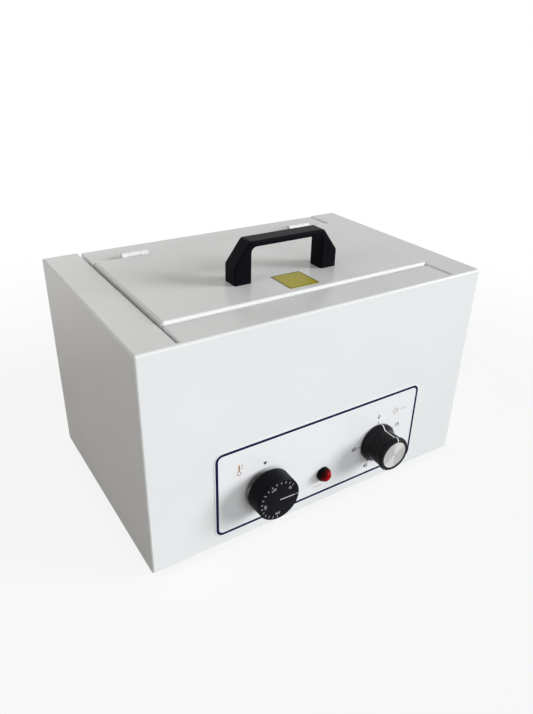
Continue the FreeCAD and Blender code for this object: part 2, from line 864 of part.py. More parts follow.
def base_plate():
    """Bottom plate on the casing's flanges, with cooling slots."""
    plate = body("base")
    side = inner_half - size.panel_fit
    outline = rectangle(sketch(plate, "XY_Plane", size.steel_sheet), -side, inner_front + size.panel_fit,
                        side, plate_back - size.panel_fit)
    pad(plate, outline, size.steel_sheet)
    holes = sketch(plate, "XY_Plane", size.steel_sheet)
    for x, y in list(foot_places().values()) + base_screw_places():
        circle(holes, x, y, size.screw_radius)
    pocket(plate, holes, size.steel_sheet, forward=True)
    vent = sketch(plate, "XY_Plane", size.steel_sheet)
    run = size.vent_pitch * (COUNTS["base_vents"] - 1)
    slot(vent, -run / 2, 0, size.vent_width, size.vent_length)
    first = pocket(plate, vent, size.steel_sheet, forward=True)
    repeat(plate, first, vent, run, "base_vents")
    return finish(plate, "base_plate")


def drawn_block(name, inset, low, high, corner, bottom_round):
    """The tank's outline, drawn in by an inset, as a block with round corners and a round bottom."""
    solid = body(name)
    outline = rounded(sketch(solid, "XY_Plane", low), -tank_half + inset, tank_front + inset,
                      tank_half - inset, tank_back - inset, corner)
    pad(solid, outline, high - low)
    round_off(solid, bottom_round, lambda edge: level_at(edge, low))
    return solid


def chamber_tank():
    """Deep-drawn stainless tank that hangs by its flange in the deck's mouth."""
    wall, rim = size.tank_sheet, size.tank_flange
    shell = drawn_block("tank", 0, tank_bottom, tank_top, size.tank_corner, size.tank_bottom_round)
    flange = rounded(sketch(shell, "XY_Plane", seat_level), -tank_half - rim, tank_front - rim,
                     tank_half + rim, tank_back + rim, size.tank_corner + rim)
    pad(shell, flange, wall)
    hollow = drawn_block("tank_hollow", wall, tank_floor, tank_top + size.cut_overrun,
                         size.tank_corner - wall, size.tank_bottom_round - wall)
    return finish(cut(shell, hollow), "chamber_tank")


def lid_gasket():
    """Square-section seal that lies on the tank's flange."""
    seal = body("gasket")
    inset = size.tank_flange - size.gasket_inset
    outer = rounded(sketch(seal, "XY_Plane", tank_top), -tank_half - inset, tank_front - inset,
                    tank_half + inset, tank_back + inset, size.tank_corner + inset)
    pad(seal, outer, size.gasket_height)
    inset = inset - size.gasket_width
    inner = rounded(sketch(seal, "XY_Plane", tank_top + size.gasket_height), -tank_half - inset,
                    tank_front - inset, tank_half + inset, tank_back + inset, size.tank_corner + inset)
    pocket(seal, inner, size.gasket_height)
    return finish(seal, "lid_gasket")


def lid_shell():
    """Shallow tray, folded down all round, that stands a little proud of the strips."""
    lid = body("lid")
    wall = size.lid_sheet
    outer = rounded(sketch(lid, "XY_Plane", lid_bottom), -lid_half, lid_front, lid_half, lid_back,
                    size.bend_radius)
    pad(lid, outer, lid_top - lid_bottom)
    round_off(lid, size.bend_radius, lambda edge: level_at(edge, lid_top))
    hollow = rectangle(sketch(lid, "XY_Plane", lid_bottom), -lid_half + wall, lid_front + wall,
                       lid_half - wall, lid_back - wall)
    pocket(lid, hollow, lid_top - lid_bottom - wall, forward=True)
    holes = sketch(lid, "XY_Plane", lid_top)
    for side in (-1, 1):
        circle(holes, side * size.handle_screw_spacing / 2, handle_y,
               size.handle_screw_radius + size.screw_fit)
    pocket(lid, holes, 2 * wall)
    return finish(lid, "lid_shell")


def lid_inner_pan():
    """Stainless pan that closes the lid from below, pressed down in the middle to plug the tank."""
    pan = body("pan")
    wall = size.pan_sheet
    reach = size.lid_sheet + size.pan_fit
    left, low, right, high = -lid_half + reach, lid_front + reach, lid_half - reach, lid_back - reach
    pad(pan, rectangle(sketch(pan, "XY_Plane", pan_level), left, low, right, high), size.pan_turn_up)
    inner = rectangle(sketch(pan, "XY_Plane", pan_level + size.pan_turn_up), left + wall, low + wall,
                      right - wall, high - wall)
    pocket(pan, inner, size.pan_turn_up - wall)
    gap = size.tank_sheet + size.plug_margin
    plug = rounded(sketch(pan, "XY_Plane", pan_level), -tank_half + gap, tank_front + gap,
                   tank_half - gap, tank_back - gap, size.plug_corner)
    pad(pan, plug, size.plug_drop, inward=True)
    gap = gap + wall
    dish = rounded(sketch(pan, "XY_Plane", pan_level + wall), -tank_half + gap, tank_front + gap,
                   tank_half - gap, tank_back - gap, size.plug_corner - wall)
    pocket(pan, dish, size.plug_drop)
    return finish(pan, "lid_inner_pan")


def lid_insulation():
    """Wool board between the lid and its pan, cut out round the handle's screw heads."""
    reach = size.lid_sheet + 2 * size.pan_fit + size.pan_sheet
    low = pan_level + size.pan_sheet
    thickness = lid_top - size.lid_sheet - low
    board = block("lid_board", (-lid_half + reach, lid_front + reach, low),
                  (lid_half - reach, lid_back - reach, low + thickness))
    pockets = [rod("screw_pocket", size.screw_pocket_radius, thickness, (side * size.handle_screw_spacing / 2,
               handle_y, low)) for side in (-1, 1)]
    return finish(cut(board, *pockets), "lid_insulation")


def lid_handle():
    """Moulded bridge handle: two feet, sloped shoulders and a level bar."""
    grip = body("handle")
    foot, run = size.handle_length / 2, size.handle_slope_run
    leg = foot - size.handle_leg
    under = size.handle_height - size.handle_bar
    outline = [
        (-foot, 0), (-foot, size.handle_foot), (-foot + run, size.handle_height),
        (foot - run, size.handle_height), (foot, size.handle_foot), (foot, 0),
        (leg, 0), (leg, under), (-leg, under), (-leg, 0),
    ]
    pad(grip, polygon(sketch(grip, "XZ_Plane", -size.handle_width / 2), outline), size.handle_width)
    round_off(grip, size.handle_outer_round, lambda edge: across(edge) and (
        level_at(edge, size.handle_foot) or level_at(edge, size.handle_height)))
    round_off(grip, size.handle_inner_round, lambda edge: across(edge) and level_at(edge, under))
    round_off(grip, size.handle_edge_round, lambda edge: edge.BoundBox.YLength < TOUCH
              and not level_at(edge, 0))
    holes = sketch(grip, "XY_Plane")
    for side in (-1, 1):
        circle(holes, side * size.handle_screw_spacing / 2, 0, size.handle_screw_radius + size.thread_gap)
    pocket(grip, holes, size.handle_screw_bite + size.handle_screw_radius / 2, forward=True)
    return finish(grip, "lid_handle", (0, handle_y, lid_top))


def handle_screws():
    """Two screws from inside the lid up into the handle's feet."""
    ceiling = lid_top - size.lid_sheet
    screws = []
    for side in (-1, 1):
        x = side * size.handle_screw_spacing / 2
        shank = rod("handle_shank", size.handle_screw_radius, size.lid_sheet + size.handle_screw_bite,
                    (x, handle_y, ceiling))
        head = rod("handle_head", size.handle_screw_head_radius, size.handle_screw_head,
                   (x, handle_y, ceiling - size.handle_screw_head))
        screws.append(fuse(shank, head))
    return finish(group(*screws), "handle_screws")


def lid_sticker():
    """Square of film on the lid in front of the handle."""
    film = body("sticker")
    x, y = size.sticker_width / 2, size.sticker_depth / 2
    pad(film, rounded(sketch(film, "XY_Plane"), -x, -y, x, y, size.sticker_corner), size.sticker_film)
    return finish(film, "lid_sticker", (0, sticker_y, lid_top))


def hinge(side, place):
    """Three-knuckle butt hinge with its leaves upright in the gap behind the lid."""
    end, middle = size.hinge_length / 2, size.middle_knuckle / 2
    face = size.barrel_radius + size.hinge_clearance
    inner = face - size.leaf_sheet
    at = (place, axis_y, axis_z)
    over = size.cut_overrun

    plate = block("lid_leaf", (-end, -face, -size.leaf_drop), (end, -inner, 0))
    free = middle + size.hinge_clearance
    notch = block("lid_notch", (-free, -face - over, -face), (free, -inner + over, over))
    knuckles = [rod("lid_knuckle", size.barrel_radius, end - free, (start, 0, 0), "x")
                for start in (-end, free)]
    bore = rod("lid_bore", size.pin_radius + size.pin_running_gap, 2 * (end + over),
               (-end - over, 0, 0), "x")
    finish(cut(fuse(cut(plate, notch), *knuckles), bore), side + "_hinge_lid_leaf", at)

    plate = block("rear_leaf", (-end, inner, -size.leaf_drop), (end, face, 0))
    notches = [block("rear_notch", (start, inner - over, -face), (start + end - middle + over, face + over,
               over)) for start in (-end - over, middle)]
    knuckle = rod("rear_knuckle", size.barrel_radius, 2 * middle, (-middle, 0, 0), "x")
    bore = rod("rear_bore", size.pin_radius, 2 * end, (-end, 0, 0), "x")
    finish(cut(fuse(cut(plate, *notches), knuckle), bore), side + "_hinge_rear_leaf", at)

    finish(rod(side + "_pin", size.pin_radius, 2 * end, (-end, 0, 0), "x"), side + "_hinge_pin", at)


def panel_overlay():
    """Printed film on the front, with holes for the controls."""
    film = body("overlay")
    reach = size.panel_width / 2
    pad(film, rounded(sketch(film, "XZ_Plane", -front), -reach, size.panel_bottom, reach,
                      size.panel_bottom + size.panel_height, size.panel_corner), size.panel_film)
    holes = sketch(film, "XZ_Plane", -front + size.panel_film)
    for x, z, radius in front_holes():
        circle(holes, x, z, radius)
    pocket(film, holes, size.panel_film)
    return finish(film, "panel_overlay")


def at_front(x, z):
    """A point on the front wall's outer face."""
    return (x, front, z)


def thermostat_knob():
    """Plain round dial, hollow behind, with a hub that takes the spindle."""
    knob = body("dial")
    rear, face = size.knob_gap, size.knob_gap + size.dial_thickness
    ceiling = face - size.dial_web
    hub = rear + size.dial_hub_recess
    profile = [
        (0, hub), (0, face), (size.dial_face_radius, face), (size.dial_radius, rear),
        (size.dial_radius - size.dial_wall, rear), (size.dial_face_radius - size.dial_wall, ceiling),
        (size.hub_radius, ceiling), (size.hub_radius, hub),
    ]
    revolve(knob, polygon(sketch(knob, "XZ_Plane"), profile))
    round_off(knob, size.dial_round, lambda edge: level_at(edge, face))
    bore = flatted_circle(sketch(knob, "XY_Plane", hub), size.spindle_radius + size.spindle_fit,
                          size.spindle_flat + size.spindle_fit)
    pocket(knob, bore, size.hub_bore + size.spindle_fit, forward=True)
    return finish(knob, "thermostat_knob", at_front(-size.thermostat_left, size.control_height), FACING_FRONT)


def spindle(name, hub, place):
    """Round shaft with a flat where the knob's hub grips it."""
    shaft = body(name)
    start = -size.steel_sheet - size.spindle_inside
    pad(shaft, circle(sketch(shaft, "XY_Plane", start), 0, 0, size.spindle_radius), hub - start)
    grip = flatted_circle(sketch(shaft, "XY_Plane", hub), size.spindle_radius, size.spindle_flat)
    pad(shaft, grip, size.hub_bore)
    return finish(shaft, name, place, FACING_FRONT)


def spade_tabs(count, level, sheet_row=0):
    """Flat terminals that stand out behind a housing."""
    tabs = []
    for i in range(count):
        x = (i - (count - 1) / 2) * size.tab_pitch
        low = (x - size.tab_width / 2, as_size(sheet_row) - size.tab_sheet / 2, level - size.tab_length)
        high = (x + size.tab_width / 2, as_size(sheet_row) + size.tab_sheet / 2, level)
        tabs.append(block("tab", low, high))
    return tabs


def housing(name, width, height, depth, bush_reach, tab_count):
    """Closed housing behind the front wall, with a bush that comes through it and tabs behind."""
    case = body(name)
    x, z = width / 2, height / 2
    pad(case, rounded(sketch(case, "XY_Plane", -size.steel_sheet), -x, -z, x, z, size.housing_round), depth,
        inward=True)
    bush = circle(sketch(case, "XY_Plane", -size.steel_sheet), 0, 0, size.bush_radius)
    pad(case, bush, size.steel_sheet + bush_reach)
    bore = circle(sketch(case, "XY_Plane", bush_reach), 0, 0, size.spindle_radius + size.spindle_running_gap)
    pocket(case, bore, bush_reach + size.steel_sheet + size.spindle_inside + size.panel_fit)
    return fuse(case, *spade_tabs(tab_count, -size.steel_sheet - depth))


def thermostat():
    """Knob, spindle, housing and the two screws behind the knob."""
    place = at_front(-size.thermostat_left, size.control_height)
    thermostat_knob()
    spindle("thermostat_spindle", size.knob_gap + size.dial_hub_recess, place)
    case = housing("thermostat_case", size.thermostat_width, size.thermostat_height, size.thermostat_depth,
                   size.dial_bush_reach, 2)
    reach = size.thermostat_screw_pitch / 2
    deep = size.steel_sheet + size.screw_tail
    holes = [rod("case_hole", size.screw_radius, deep, (side * reach, 0, -deep)) for side in (-1, 1)]
    finish(cut(case, *holes), "thermostat_housing", place, FACING_FRONT)
    screws = []
    for side in (-1, 1):
        shank = rod("case_shank", size.screw_radius, deep + size.panel_film, (side * reach, 0, -deep))
        head = rod("case_head", size.screw_head_radius, size.screw_head, (side * reach, 0, size.panel_film))
        screws.append(fuse(shank, head))
    finish(group(*screws), "thermostat_screws", place, FACING_FRONT)


def timer_knob():
    """Skirted knob: a fluted grip between the skirt and a bevelled rim, hollow behind."""
    knob = body("timer_grip")
    rear = size.knob_gap
    skirt = rear + size.skirt_thickness
    waist = skirt + size.grip_slope
    rim, face = rim_level, front_reach
    edge_level = rim + size.rim_thickness
    ceiling = face - size.knob_web
    hub = rear + size.knob_hub_recess
    profile = [
        (0, hub), (0, face), (size.rim_radius - size.rim_bevel, face), (size.rim_radius, edge_level),
        (size.rim_radius, rim), (size.grip_radius, rim - size.grip_slope), (size.grip_radius, waist),
        (size.skirt_radius, skirt), (size.skirt_radius, rear), (size.knob_bore_radius, rear),
        (size.knob_bore_radius, ceiling), (size.hub_radius, ceiling), (size.hub_radius, hub),
    ]
    revolve(knob, polygon(sketch(knob, "XZ_Plane"), profile))
    seat = circle(sketch(knob, "XY_Plane", face), 0, 0, size.inlay_radius + size.inlay_fit)
    pocket(knob, seat, size.inlay_plate + size.inlay_sink)
    bore = flatted_circle(sketch(knob, "XY_Plane", hub), size.spindle_radius + size.spindle_fit,
                          size.spindle_flat + size.spindle_fit)
    pocket(knob, bore, size.hub_bore + size.spindle_fit, forward=True)
    notch = circle(sketch(knob, "XY_Plane", rim - size.grip_slope), size.grip_radius + size.flute_radius
                   - size.flute_depth, 0, size.flute_radius)
    first = pocket(knob, notch, size.grip_thickness - size.grip_slope)
    ring = knob.newObject("PartDesign::PolarPattern", "flutes")
    ring.Originals = [first]
    ring.Axis = (notch, ["N_Axis"])
    ring.Angle = 360
    ring.setExpression("Occurrences", "Sizes.flute_count")
    knob.Tip = ring
    place = at_front(size.timer_right, size.control_height)
    finish(knob, "timer_knob", place, FACING_FRONT)
    low = face - size.inlay_plate - size.inlay_sink
    disc = rod("inlay", size.inlay_radius, size.inlay_plate, (0, 0, 0))
    finish(disc, "timer_knob_inlay", (size.timer_right, front - low, size.control_height), FACING_FRONT)


def timer():
    """Knob, spindle, housing and the nut that clamps the housing to the front."""
    place = at_front(size.timer_right, size.control_height)
    timer_knob()
    spindle("timer_spindle", size.knob_gap + size.knob_hub_recess, place)
    case = housing("timer_case", size.timer_width, size.timer_width, size.timer_depth,
                   size.knob_bush_reach, 2)
    finish(case, "timer_housing", place, FACING_FRONT)
    nut = hexagon("timer_hexagon", size.timer_nut_radius, size.timer_nut, (0, 0, size.panel_film))
    hole = rod("timer_nut_hole", size.bush_radius + size.thread_gap, size.timer_nut, (0, 0, size.panel_film))
    finish(cut(nut, hole), "timer_nut", place, FACING_FRONT)


def pilot_lamp():
    """Black bezel and barrel with a red domed lens."""
    place = at_front(0, size.lamp_height)
    holder = body("lamp")
    barrel = circle(sketch(holder, "XY_Plane", size.panel_film), 0, 0, size.lamp_barrel_radius)
    pad(holder, barrel, size.lamp_barrel + size.panel_film, inward=True)
    bezel = circle(sketch(holder, "XY_Plane", size.panel_film), 0, 0, size.bezel_radius)
    pad(holder, bezel, size.bezel_reach)
    round_off(holder, size.bezel_round, lambda edge: level_at(edge, size.panel_film + size.bezel_reach))
    seat = circle(sketch(holder, "XY_Plane", size.panel_film + size.bezel_reach), 0, 0, size.lens_radius)
    pocket(holder, seat, size.bezel_reach - size.lens_seat)
    finish(fuse(holder, *spade_tabs(2, -size.lamp_barrel)), "lamp_body", place, FACING_FRONT)
    lens = body("lens")
    base = size.panel_film + size.lens_seat
    pad(lens, circle(sketch(lens, "XY_Plane", base), 0, 0, size.lens_radius), size.lens_reach - base)
    round_off(lens, size.lens_round, lambda edge: level_at(edge, size.lens_reach))
    finish(lens, "lamp_lens", place, FACING_FRONT)


def heating():
    """Spreader plate, tubular element and the two straps that hold it up against the plate."""
    finish(block("spreader", (-spreader_reach, spreader_front, spreader_bottom),
                 (spreader_reach, spreader_back, tank_bottom)), "heat_spreader")

    radius = size.element_radius
    low, high = spreader_front + size.element_inset, spreader_back - size.element_inset
    right = spreader_reach - size.element_inset - (high - low) / 2
    cold = -spreader_reach - size.cold_end
    tube = body("element")
    path = hairpin(sketch(tube, "XY_Plane", element_level), cold, right, low, high)
    sweep = tube.newObject("PartDesign::AdditivePipe", "element_tube")
    sweep.Profile = circle(sketch(tube, "YZ_Plane", cold), low, element_level, radius)
    sweep.Spine = path
    parts = [tube]
    for y in (low, high):
        bead = (cold - size.bead_length, y, element_level)
        parts.append(rod("bead", size.bead_radius, size.bead_length, bead, "x"))
        pin = (cold - size.bead_length - size.terminal_pin, y, element_level)
        parts.append(rod("terminal", size.terminal_pin_radius, size.terminal_pin, pin, "x"))
    finish(fuse(*parts), "heating_element")

    straps = []
    low, high = spreader_front + size.clamp_margin, spreader_back - size.clamp_margin
    across_x = spreader_reach - size.clamp_inset
    for x in (-across_x, across_x):
        near, far = x - size.clamp_width / 2, x + size.clamp_width / 2
        bar = block("strap", (near, low, clamp_bottom), (far, high, clamp_top))
        legs = [block("strap_leg", (near, start, clamp_top), (far, start + size.clamp_sheet,
                                                               spreader_bottom))
                for start in (low, high - size.clamp_sheet)]
        straps.append(fuse(bar, *legs))
    finish(group(*straps), "element_clamps")


def insulation():
    """Wool jacket round the tank and under the element, in a thin steel box hung from the deck."""
    gap, wall = size.wool_gap, size.wool_wall
    roof = seat_level - size.steel_sheet
    left, low, right, high = -wool_reach, tank_front - gap, wool_reach, tank_back + gap
    wool = block("wool", (left - wall, low - wall, wool_bottom), (right + wall, high + wall, roof))
    cavity = block("wool_cavity", (left, low, wool_cavity), (right, high, roof + size.cut_overrun))
    passage = rod("wool_passage", size.capillary_hole, size.wool_floor + 2 * size.cut_overrun,
                  (capillary_x, tank_middle, wool_bottom - size.cut_overrun))
    finish(cut(wool, cavity, passage), "chamber_insulation")

    lip, sheet_wall = size.jacket_lip, size.jacket_sheet
    left, low, right, high = left - wall, low - wall, right + wall, high + wall
    box = block("jacket", (left - sheet_wall, low - sheet_wall, jacket_bottom),
                (right + sheet_wall, high + sheet_wall, roof))
    rim = block("jacket_rim", (left - lip, low - lip, roof - sheet_wall), (right + lip, high + lip, roof))
    inside = block("jacket_inside", (left, low, wool_bottom), (right, high, roof + size.cut_overrun))
    hole = rod("jacket_hole", size.capillary_hole, sheet_wall + 2 * size.cut_overrun,
               (capillary_x, tank_middle, jacket_bottom - size.cut_overrun))
    finish(cut(fuse(box, rim), inside, hole), "insulation_jacket")


def sensing_bulb():
    """Bulb between the element's middle legs and its capillary down to the thermostat."""
    level = (spreader_bottom - size.bulb_radius - size.hinge_clearance).number
    x, y = capillary_x.number, tank_middle.number
    end = -size.bulb_length.number / 2
    entry = size.control_height.number + size.capillary_entry.number
    wall = (front + size.steel_sheet + size.thermostat_depth).number
    bend = size.capillary_bend.number
    corners = [
        FreeCAD.Vector(end, y, level), FreeCAD.Vector(x, y, level),
        FreeCAD.Vector(x, y, entry), FreeCAD.Vector(x, wall, entry),
    ]
    edges = []
    start = corners[0]
    for before, corner, after in zip(corners, corners[1:], corners[2:]):
        come, leave = (corner - before).normalize(), (after - corner).normalize()
        first, last = corner - come * bend, corner + leave * bend
        centre = first + leave * bend
        middle = centre + (corner - centre).normalize() * bend
        edges += [Part.LineSegment(start, first).toShape(), Part.Arc(first, middle, last).toShape()]
        start = last
    edges.append(Part.LineSegment(start, corners[-1]).toShape())
    path = Part.Wire(edges)
    ring = Part.Wire(Part.Circle(corners[0], FreeCAD.Vector(1, 0, 0), size.capillary_radius.number).toShape())
    tube = path.makePipeShell([ring], True, True)
    bulb = Part.makeCylinder(size.bulb_radius.number, size.bulb_length.number, corners[0],
                             FreeCAD.Vector(1, 0, 0))
    item = doc.addObject("Part::Feature", "bulb")
    item.Shape = bulb.fuse(tube)
    finish(item, "sensing_bulb")


def instrument_tray():
    """Perforated tray that stands on the tank's floor, with a lifting ear at each end."""
    tray = body("tray")
    wall, gap = size.tray_sheet, size.tank_sheet + size.tray_gap
    left, low, right, high = -tank_half + gap, tank_front + gap, tank_half - gap, tank_back - gap
    outer = rounded(sketch(tray, "XY_Plane", tank_floor), left, low, right, high, size.tray_corner)
    pad(tray, outer, size.tray_height)
    inner = rounded(sketch(tray, "XY_Plane", tank_floor + size.tray_height), left + wall, low + wall,
                    right - wall, high - wall, size.tray_corner - wall)
    pocket(tray, inner, size.tray_height - wall)
    rise = tank_floor + size.tray_height
    half = size.tray_ear_width / 2
    for near, far in ((left, left + wall), (right - wall, right)):
        ear = rectangle(sketch(tray, "XY_Plane", rise), near, tank_middle - half, far, tank_middle + half)
        pad(tray, ear, size.tray_ear_height)
    grip = sketch(tray, "YZ_Plane", left - size.cut_overrun)
    slot(grip, tank_middle, rise + size.tray_ear_height / 2, size.tray_ear_slot, size.tray_ear_slot_height)
    pocket(tray, grip, right - left + 2 * size.cut_overrun, forward=True)
    column = sketch(tray, "XY_Plane", tank_floor + wall)
    first_x = left + size.tray_slot_margin
    slot(column, first_x, tank_middle, size.tray_slot_width, high - low - 2 * size.tray_slot_end)
    first = pocket(tray, column, wall)
    repeat(tray, first, column, right - size.tray_slot_margin - first_x, "tray_slots")
    return finish(tray, "instrument_tray")


def mains_inlet():
    """Three-blade inlet in the back wall: flange, chamfered socket, blades and two screws."""
    place = (inlet_x, back, size.inlet_height)
    socket = body("inlet")
    x, z = size.inlet_flange_width / 2, size.inlet_flange_height / 2
    pad(socket, rounded(sketch(socket, "XY_Plane"), -x, -z, x, z, size.inlet_corner), size.inlet_flange)
    x, z = size.inlet_body_width / 2, size.inlet_body_height / 2
    pad(socket, rectangle(sketch(socket, "XY_Plane"), -x, -z, x, z), size.inlet_body_depth, inward=True)
    x, z, corner = size.socket_width / 2, size.socket_height / 2, size.socket_chamfer
    mouth = [(-x, z), (-x, -z + corner), (-x + corner, -z), (x - corner, -z), (x, -z + corner), (x, z)]
    pocket(socket, polygon(sketch(socket, "XY_Plane", size.inlet_flange), mouth), size.socket_depth)
    floor = size.inlet_flange - size.socket_depth
    holes = sketch(socket, "XY_Plane", size.inlet_flange)
    for side in (-1, 1):
        circle(holes, side * size.inlet_screw_pitch / 2, 0, size.inlet_screw_radius)
    pocket(socket, holes, size.inlet_flange)
    sunk = 2 * size.inlet_screw_radius
    cones = [cone("inlet_sink", size.inlet_screw_radius, sunk, size.inlet_screw_radius,
                  (side * size.inlet_screw_pitch / 2, 0, size.inlet_flange - size.inlet_screw_radius))
             for side in (-1, 1)]
    finish(fuse(cut(socket, *cones), *spade_tabs(3, -size.inlet_body_depth)), "mains_inlet", place,
           FACING_BACK)

    blades = []
    spread, rise = size.blade_spread, size.earth_rise
    for x, z in ((-spread, rise), (spread, rise), (0, -rise)):
        low = (x - size.blade_sheet / 2, z - size.blade_width / 2, floor)
        blades.append(block("blade", low, (x + size.blade_sheet / 2, z + size.blade_width / 2,
                                           floor + size.blade_length)))
    finish(group(*blades), "inlet_blades", place, FACING_BACK)

    screws = []
    for side in (-1, 1):
        x = side * size.inlet_screw_pitch / 2
        head = cone("inlet_head", size.inlet_screw_radius, sunk, size.inlet_screw_radius,
                    (x, 0, size.inlet_flange - size.inlet_screw_radius))
        shank = rod("inlet_shank", size.inlet_screw_radius, size.inlet_screw_length - size.inlet_screw_radius,
                    (x, 0, size.inlet_flange - size.inlet_screw_length))
        screws.append(fuse(head, shank))
    finish(group(*screws), "inlet_screws", place, FACING_BACK)


def fittings():
    """Terminal block on the base plate and thermal cut-out under the jacket."""
    x, y = size.block_length / 2, size.block_width / 2
    slab = block("terminal_slab", (-x, -y, 0), (x, y, size.block_height))
    wells = [rod("terminal_well", size.block_well_radius, size.block_height, (step * size.block_pitch, 0,
             size.block_height / 2)) for step in (-1, 0, 1)]
    place = (inlet_x - size.block_from_inlet, back - size.block_inset, base_top)
    finish(cut(slab, *wells), "terminal_block", place)

    can = rod("cutout_can", size.cutout_radius, size.cutout_height, (0, 0, -size.cutout_height))
    ear = block("cutout_ears", (-size.cutout_ear, -size.screw_head_radius, -size.cutout_plate),
                (size.cutout_ear, size.screw_head_radius, 0))
    tabs = spade_tabs(2, -size.cutout_height)
    finish(fuse(can, ear, *tabs), "thermal_cutout", (size.cutout_offset, tank_middle, jacket_bottom))


def feet():
    """Four rubber feet with a sunk screw each."""
    for corner, (x, y) in foot_places().items():
        foot = body(corner + "_foot")
        tall = size.foot_height + size.steel_sheet
        profile = [
            (size.screw_radius, size.foot_recess), (size.foot_recess_radius, size.foot_recess),
            (size.foot_recess_radius, 0), (size.foot_radius - size.foot_taper, 0), (size.foot_radius, tall),
            (size.screw_radius, tall),
        ]
        revolve(foot, polygon(sketch(foot, "XZ_Plane"), profile))
        finish(foot, "foot_" + corner, (x, y, -size.foot_height))
    screws, nuts = [], []
    for x, y in foot_places().values():
        start = -size.foot_height + size.foot_recess
        head = rod("foot_head", size.screw_head_radius, size.screw_head, (x, y, start - size.screw_head))
        shank = rod("foot_shank", size.screw_radius, base_top + size.nut_height - start, (x, y, start))
        screws.append(fuse(head, shank))
        nut = hexagon("foot_hexagon", size.nut_radius, size.nut_height, (x, y, base_top))
        nuts.append(cut(nut, rod("foot_nut_hole", size.screw_radius, size.nut_height, (x, y, base_top))))
    finish(group(*screws), "foot_screws")
    finish(group(*nuts), "foot_nuts")


def cover_screws():
    """Screws of the rear cover and of the base plate."""
    screws = []
    for x, z in rear_screw_places():
        head = rod("rear_head", size.screw_head_radius, size.screw_head, (x, back, z), "y")
        shank = rod("rear_shank", size.screw_radius, size.screw_tail, (x, back - size.screw_tail, z), "y")
        screws.append(fuse(head, shank))
    finish(group(*screws), "rear_cover_screws")
    screws = []
    for x, y in base_screw_places():
        head = hexagon("base_head", size.screw_head_radius, size.screw_head, (x, y, -size.screw_head))
        shank = rod("base_shank", size.screw_radius, size.screw_tail, (x, y, 0))
        screws.append(fuse(head, shank))
    finish(group(*screws), "base_screws")


def check(item):
    """Refuse a failed object, or one whose shape is empty or unsound."""
    shape = item.Shape
    if shape.isNull() or not shape.isValid() or not shape.Solids:
        raise RuntimeError("%s has no sound shape" % item.Label)


outer_casing()
rear_cover()
inner_deck()
base_plate()
chamber_tank()
lid_gasket()
lid_shell()
lid_inner_pan()
lid_insulation()
lid_handle()
handle_screws()
lid_sticker()
hinge("left", -hinge_x)
hinge("right", hinge_x)
panel_overlay()
thermostat()
timer()
pilot_lamp()
heating()
insulation()
sensing_bulb()
instrument_tray()
mains_inlet()
fittings()
feet()
cover_screws()
doc.recompute()

for item in doc.Objects:
    if "Invalid" in item.State or "Error" in item.State:
        raise RuntimeError("%s failed: %s" % (item.Label, item.State))
for item in pieces:
    check(item)

os.makedirs("parts", exist_ok=True)
for item in pieces:
    item.Shape.exportStep("parts/%s.step" % item.Label)
whole = FreeCAD.BoundBox()
for item in pieces:
    whole.add(item.Shape.BoundBox)
print("%d nodes, box %s" % (len(pieces), whole))
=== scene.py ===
import json
import math

import bmesh
import bpy
from bpy.props import FloatProperty, FloatVectorProperty, IntProperty, PointerProperty
from mathutils import Matrix, Vector


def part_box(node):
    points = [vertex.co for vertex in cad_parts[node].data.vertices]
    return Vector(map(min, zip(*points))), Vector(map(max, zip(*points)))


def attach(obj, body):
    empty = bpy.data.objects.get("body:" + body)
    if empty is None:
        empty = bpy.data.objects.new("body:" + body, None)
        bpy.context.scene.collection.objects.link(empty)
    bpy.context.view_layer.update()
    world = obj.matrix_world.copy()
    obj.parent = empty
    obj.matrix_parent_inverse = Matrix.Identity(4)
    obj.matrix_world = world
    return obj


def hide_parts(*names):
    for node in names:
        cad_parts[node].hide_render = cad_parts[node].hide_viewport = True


bl_info = {
    "name": "Dry Heat Sterilizer",
    "version": (1, 0, 0),
    "blender": (4, 5, 0),
    "location": "3D View > Sidebar > Sterilizer",
    "description": "Finishes, printed marks and small parts of a benchtop dry heat sterilizer",
    "category": "Add Mesh",
}

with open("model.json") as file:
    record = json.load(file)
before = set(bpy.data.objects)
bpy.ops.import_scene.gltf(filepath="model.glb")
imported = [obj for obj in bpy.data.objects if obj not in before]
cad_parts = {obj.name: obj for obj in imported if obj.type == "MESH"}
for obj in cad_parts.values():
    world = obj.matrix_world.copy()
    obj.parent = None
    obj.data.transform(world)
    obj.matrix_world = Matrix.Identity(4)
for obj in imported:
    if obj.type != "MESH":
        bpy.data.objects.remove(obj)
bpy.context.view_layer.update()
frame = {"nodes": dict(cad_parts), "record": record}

MM = 0.001


def middle(node):
    """The centre of a CAD node's box."""
    low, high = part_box(node)
    return (low + high) / 2


panel_low, panel_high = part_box("panel_overlay")
panel_face = panel_low.y
thermostat_centre = middle("thermostat_spindle")
timer_centre = middle("timer_spindle")
lamp_centre = middle("lamp_lens")
lens_radius = 6 * MM

# Faces that pieces are laid on: the columns are the drawing's x, y and outward axes
FRONT_FACE = Matrix(((1, 0, 0, 0), (0, 0, -1, 0), (0, 1, 0, 0), (0, 0, 0, 1)))
BACK_FACE = Matrix(((-1, 0, 0, 0), (0, 0, 1, 0), (0, 1, 0, 0), (0, 0, 0, 1)))

WHITE = (1, 1, 1, 1)

# Sockets of a Mix node that mixes colours
MIX_SHARE, MIX_FIRST, MIX_SECOND, MIX_RESULT = 0, 6, 7, 2

# Soft square lamps: the first word of the power setting, then place, size and colour
SOFT_LIGHTS = (
    ("window", (0.1, -2.0, 0.4), 1.4, (0.955, 0.985, 1.0)),
    ("side", (-0.75, -0.05, 0.55), 0.4, (1.0, 0.97, 0.93)),
    ("back", (-0.1, 2.0, 0.3), 1.4, (1.0, 0.985, 0.96)),
)


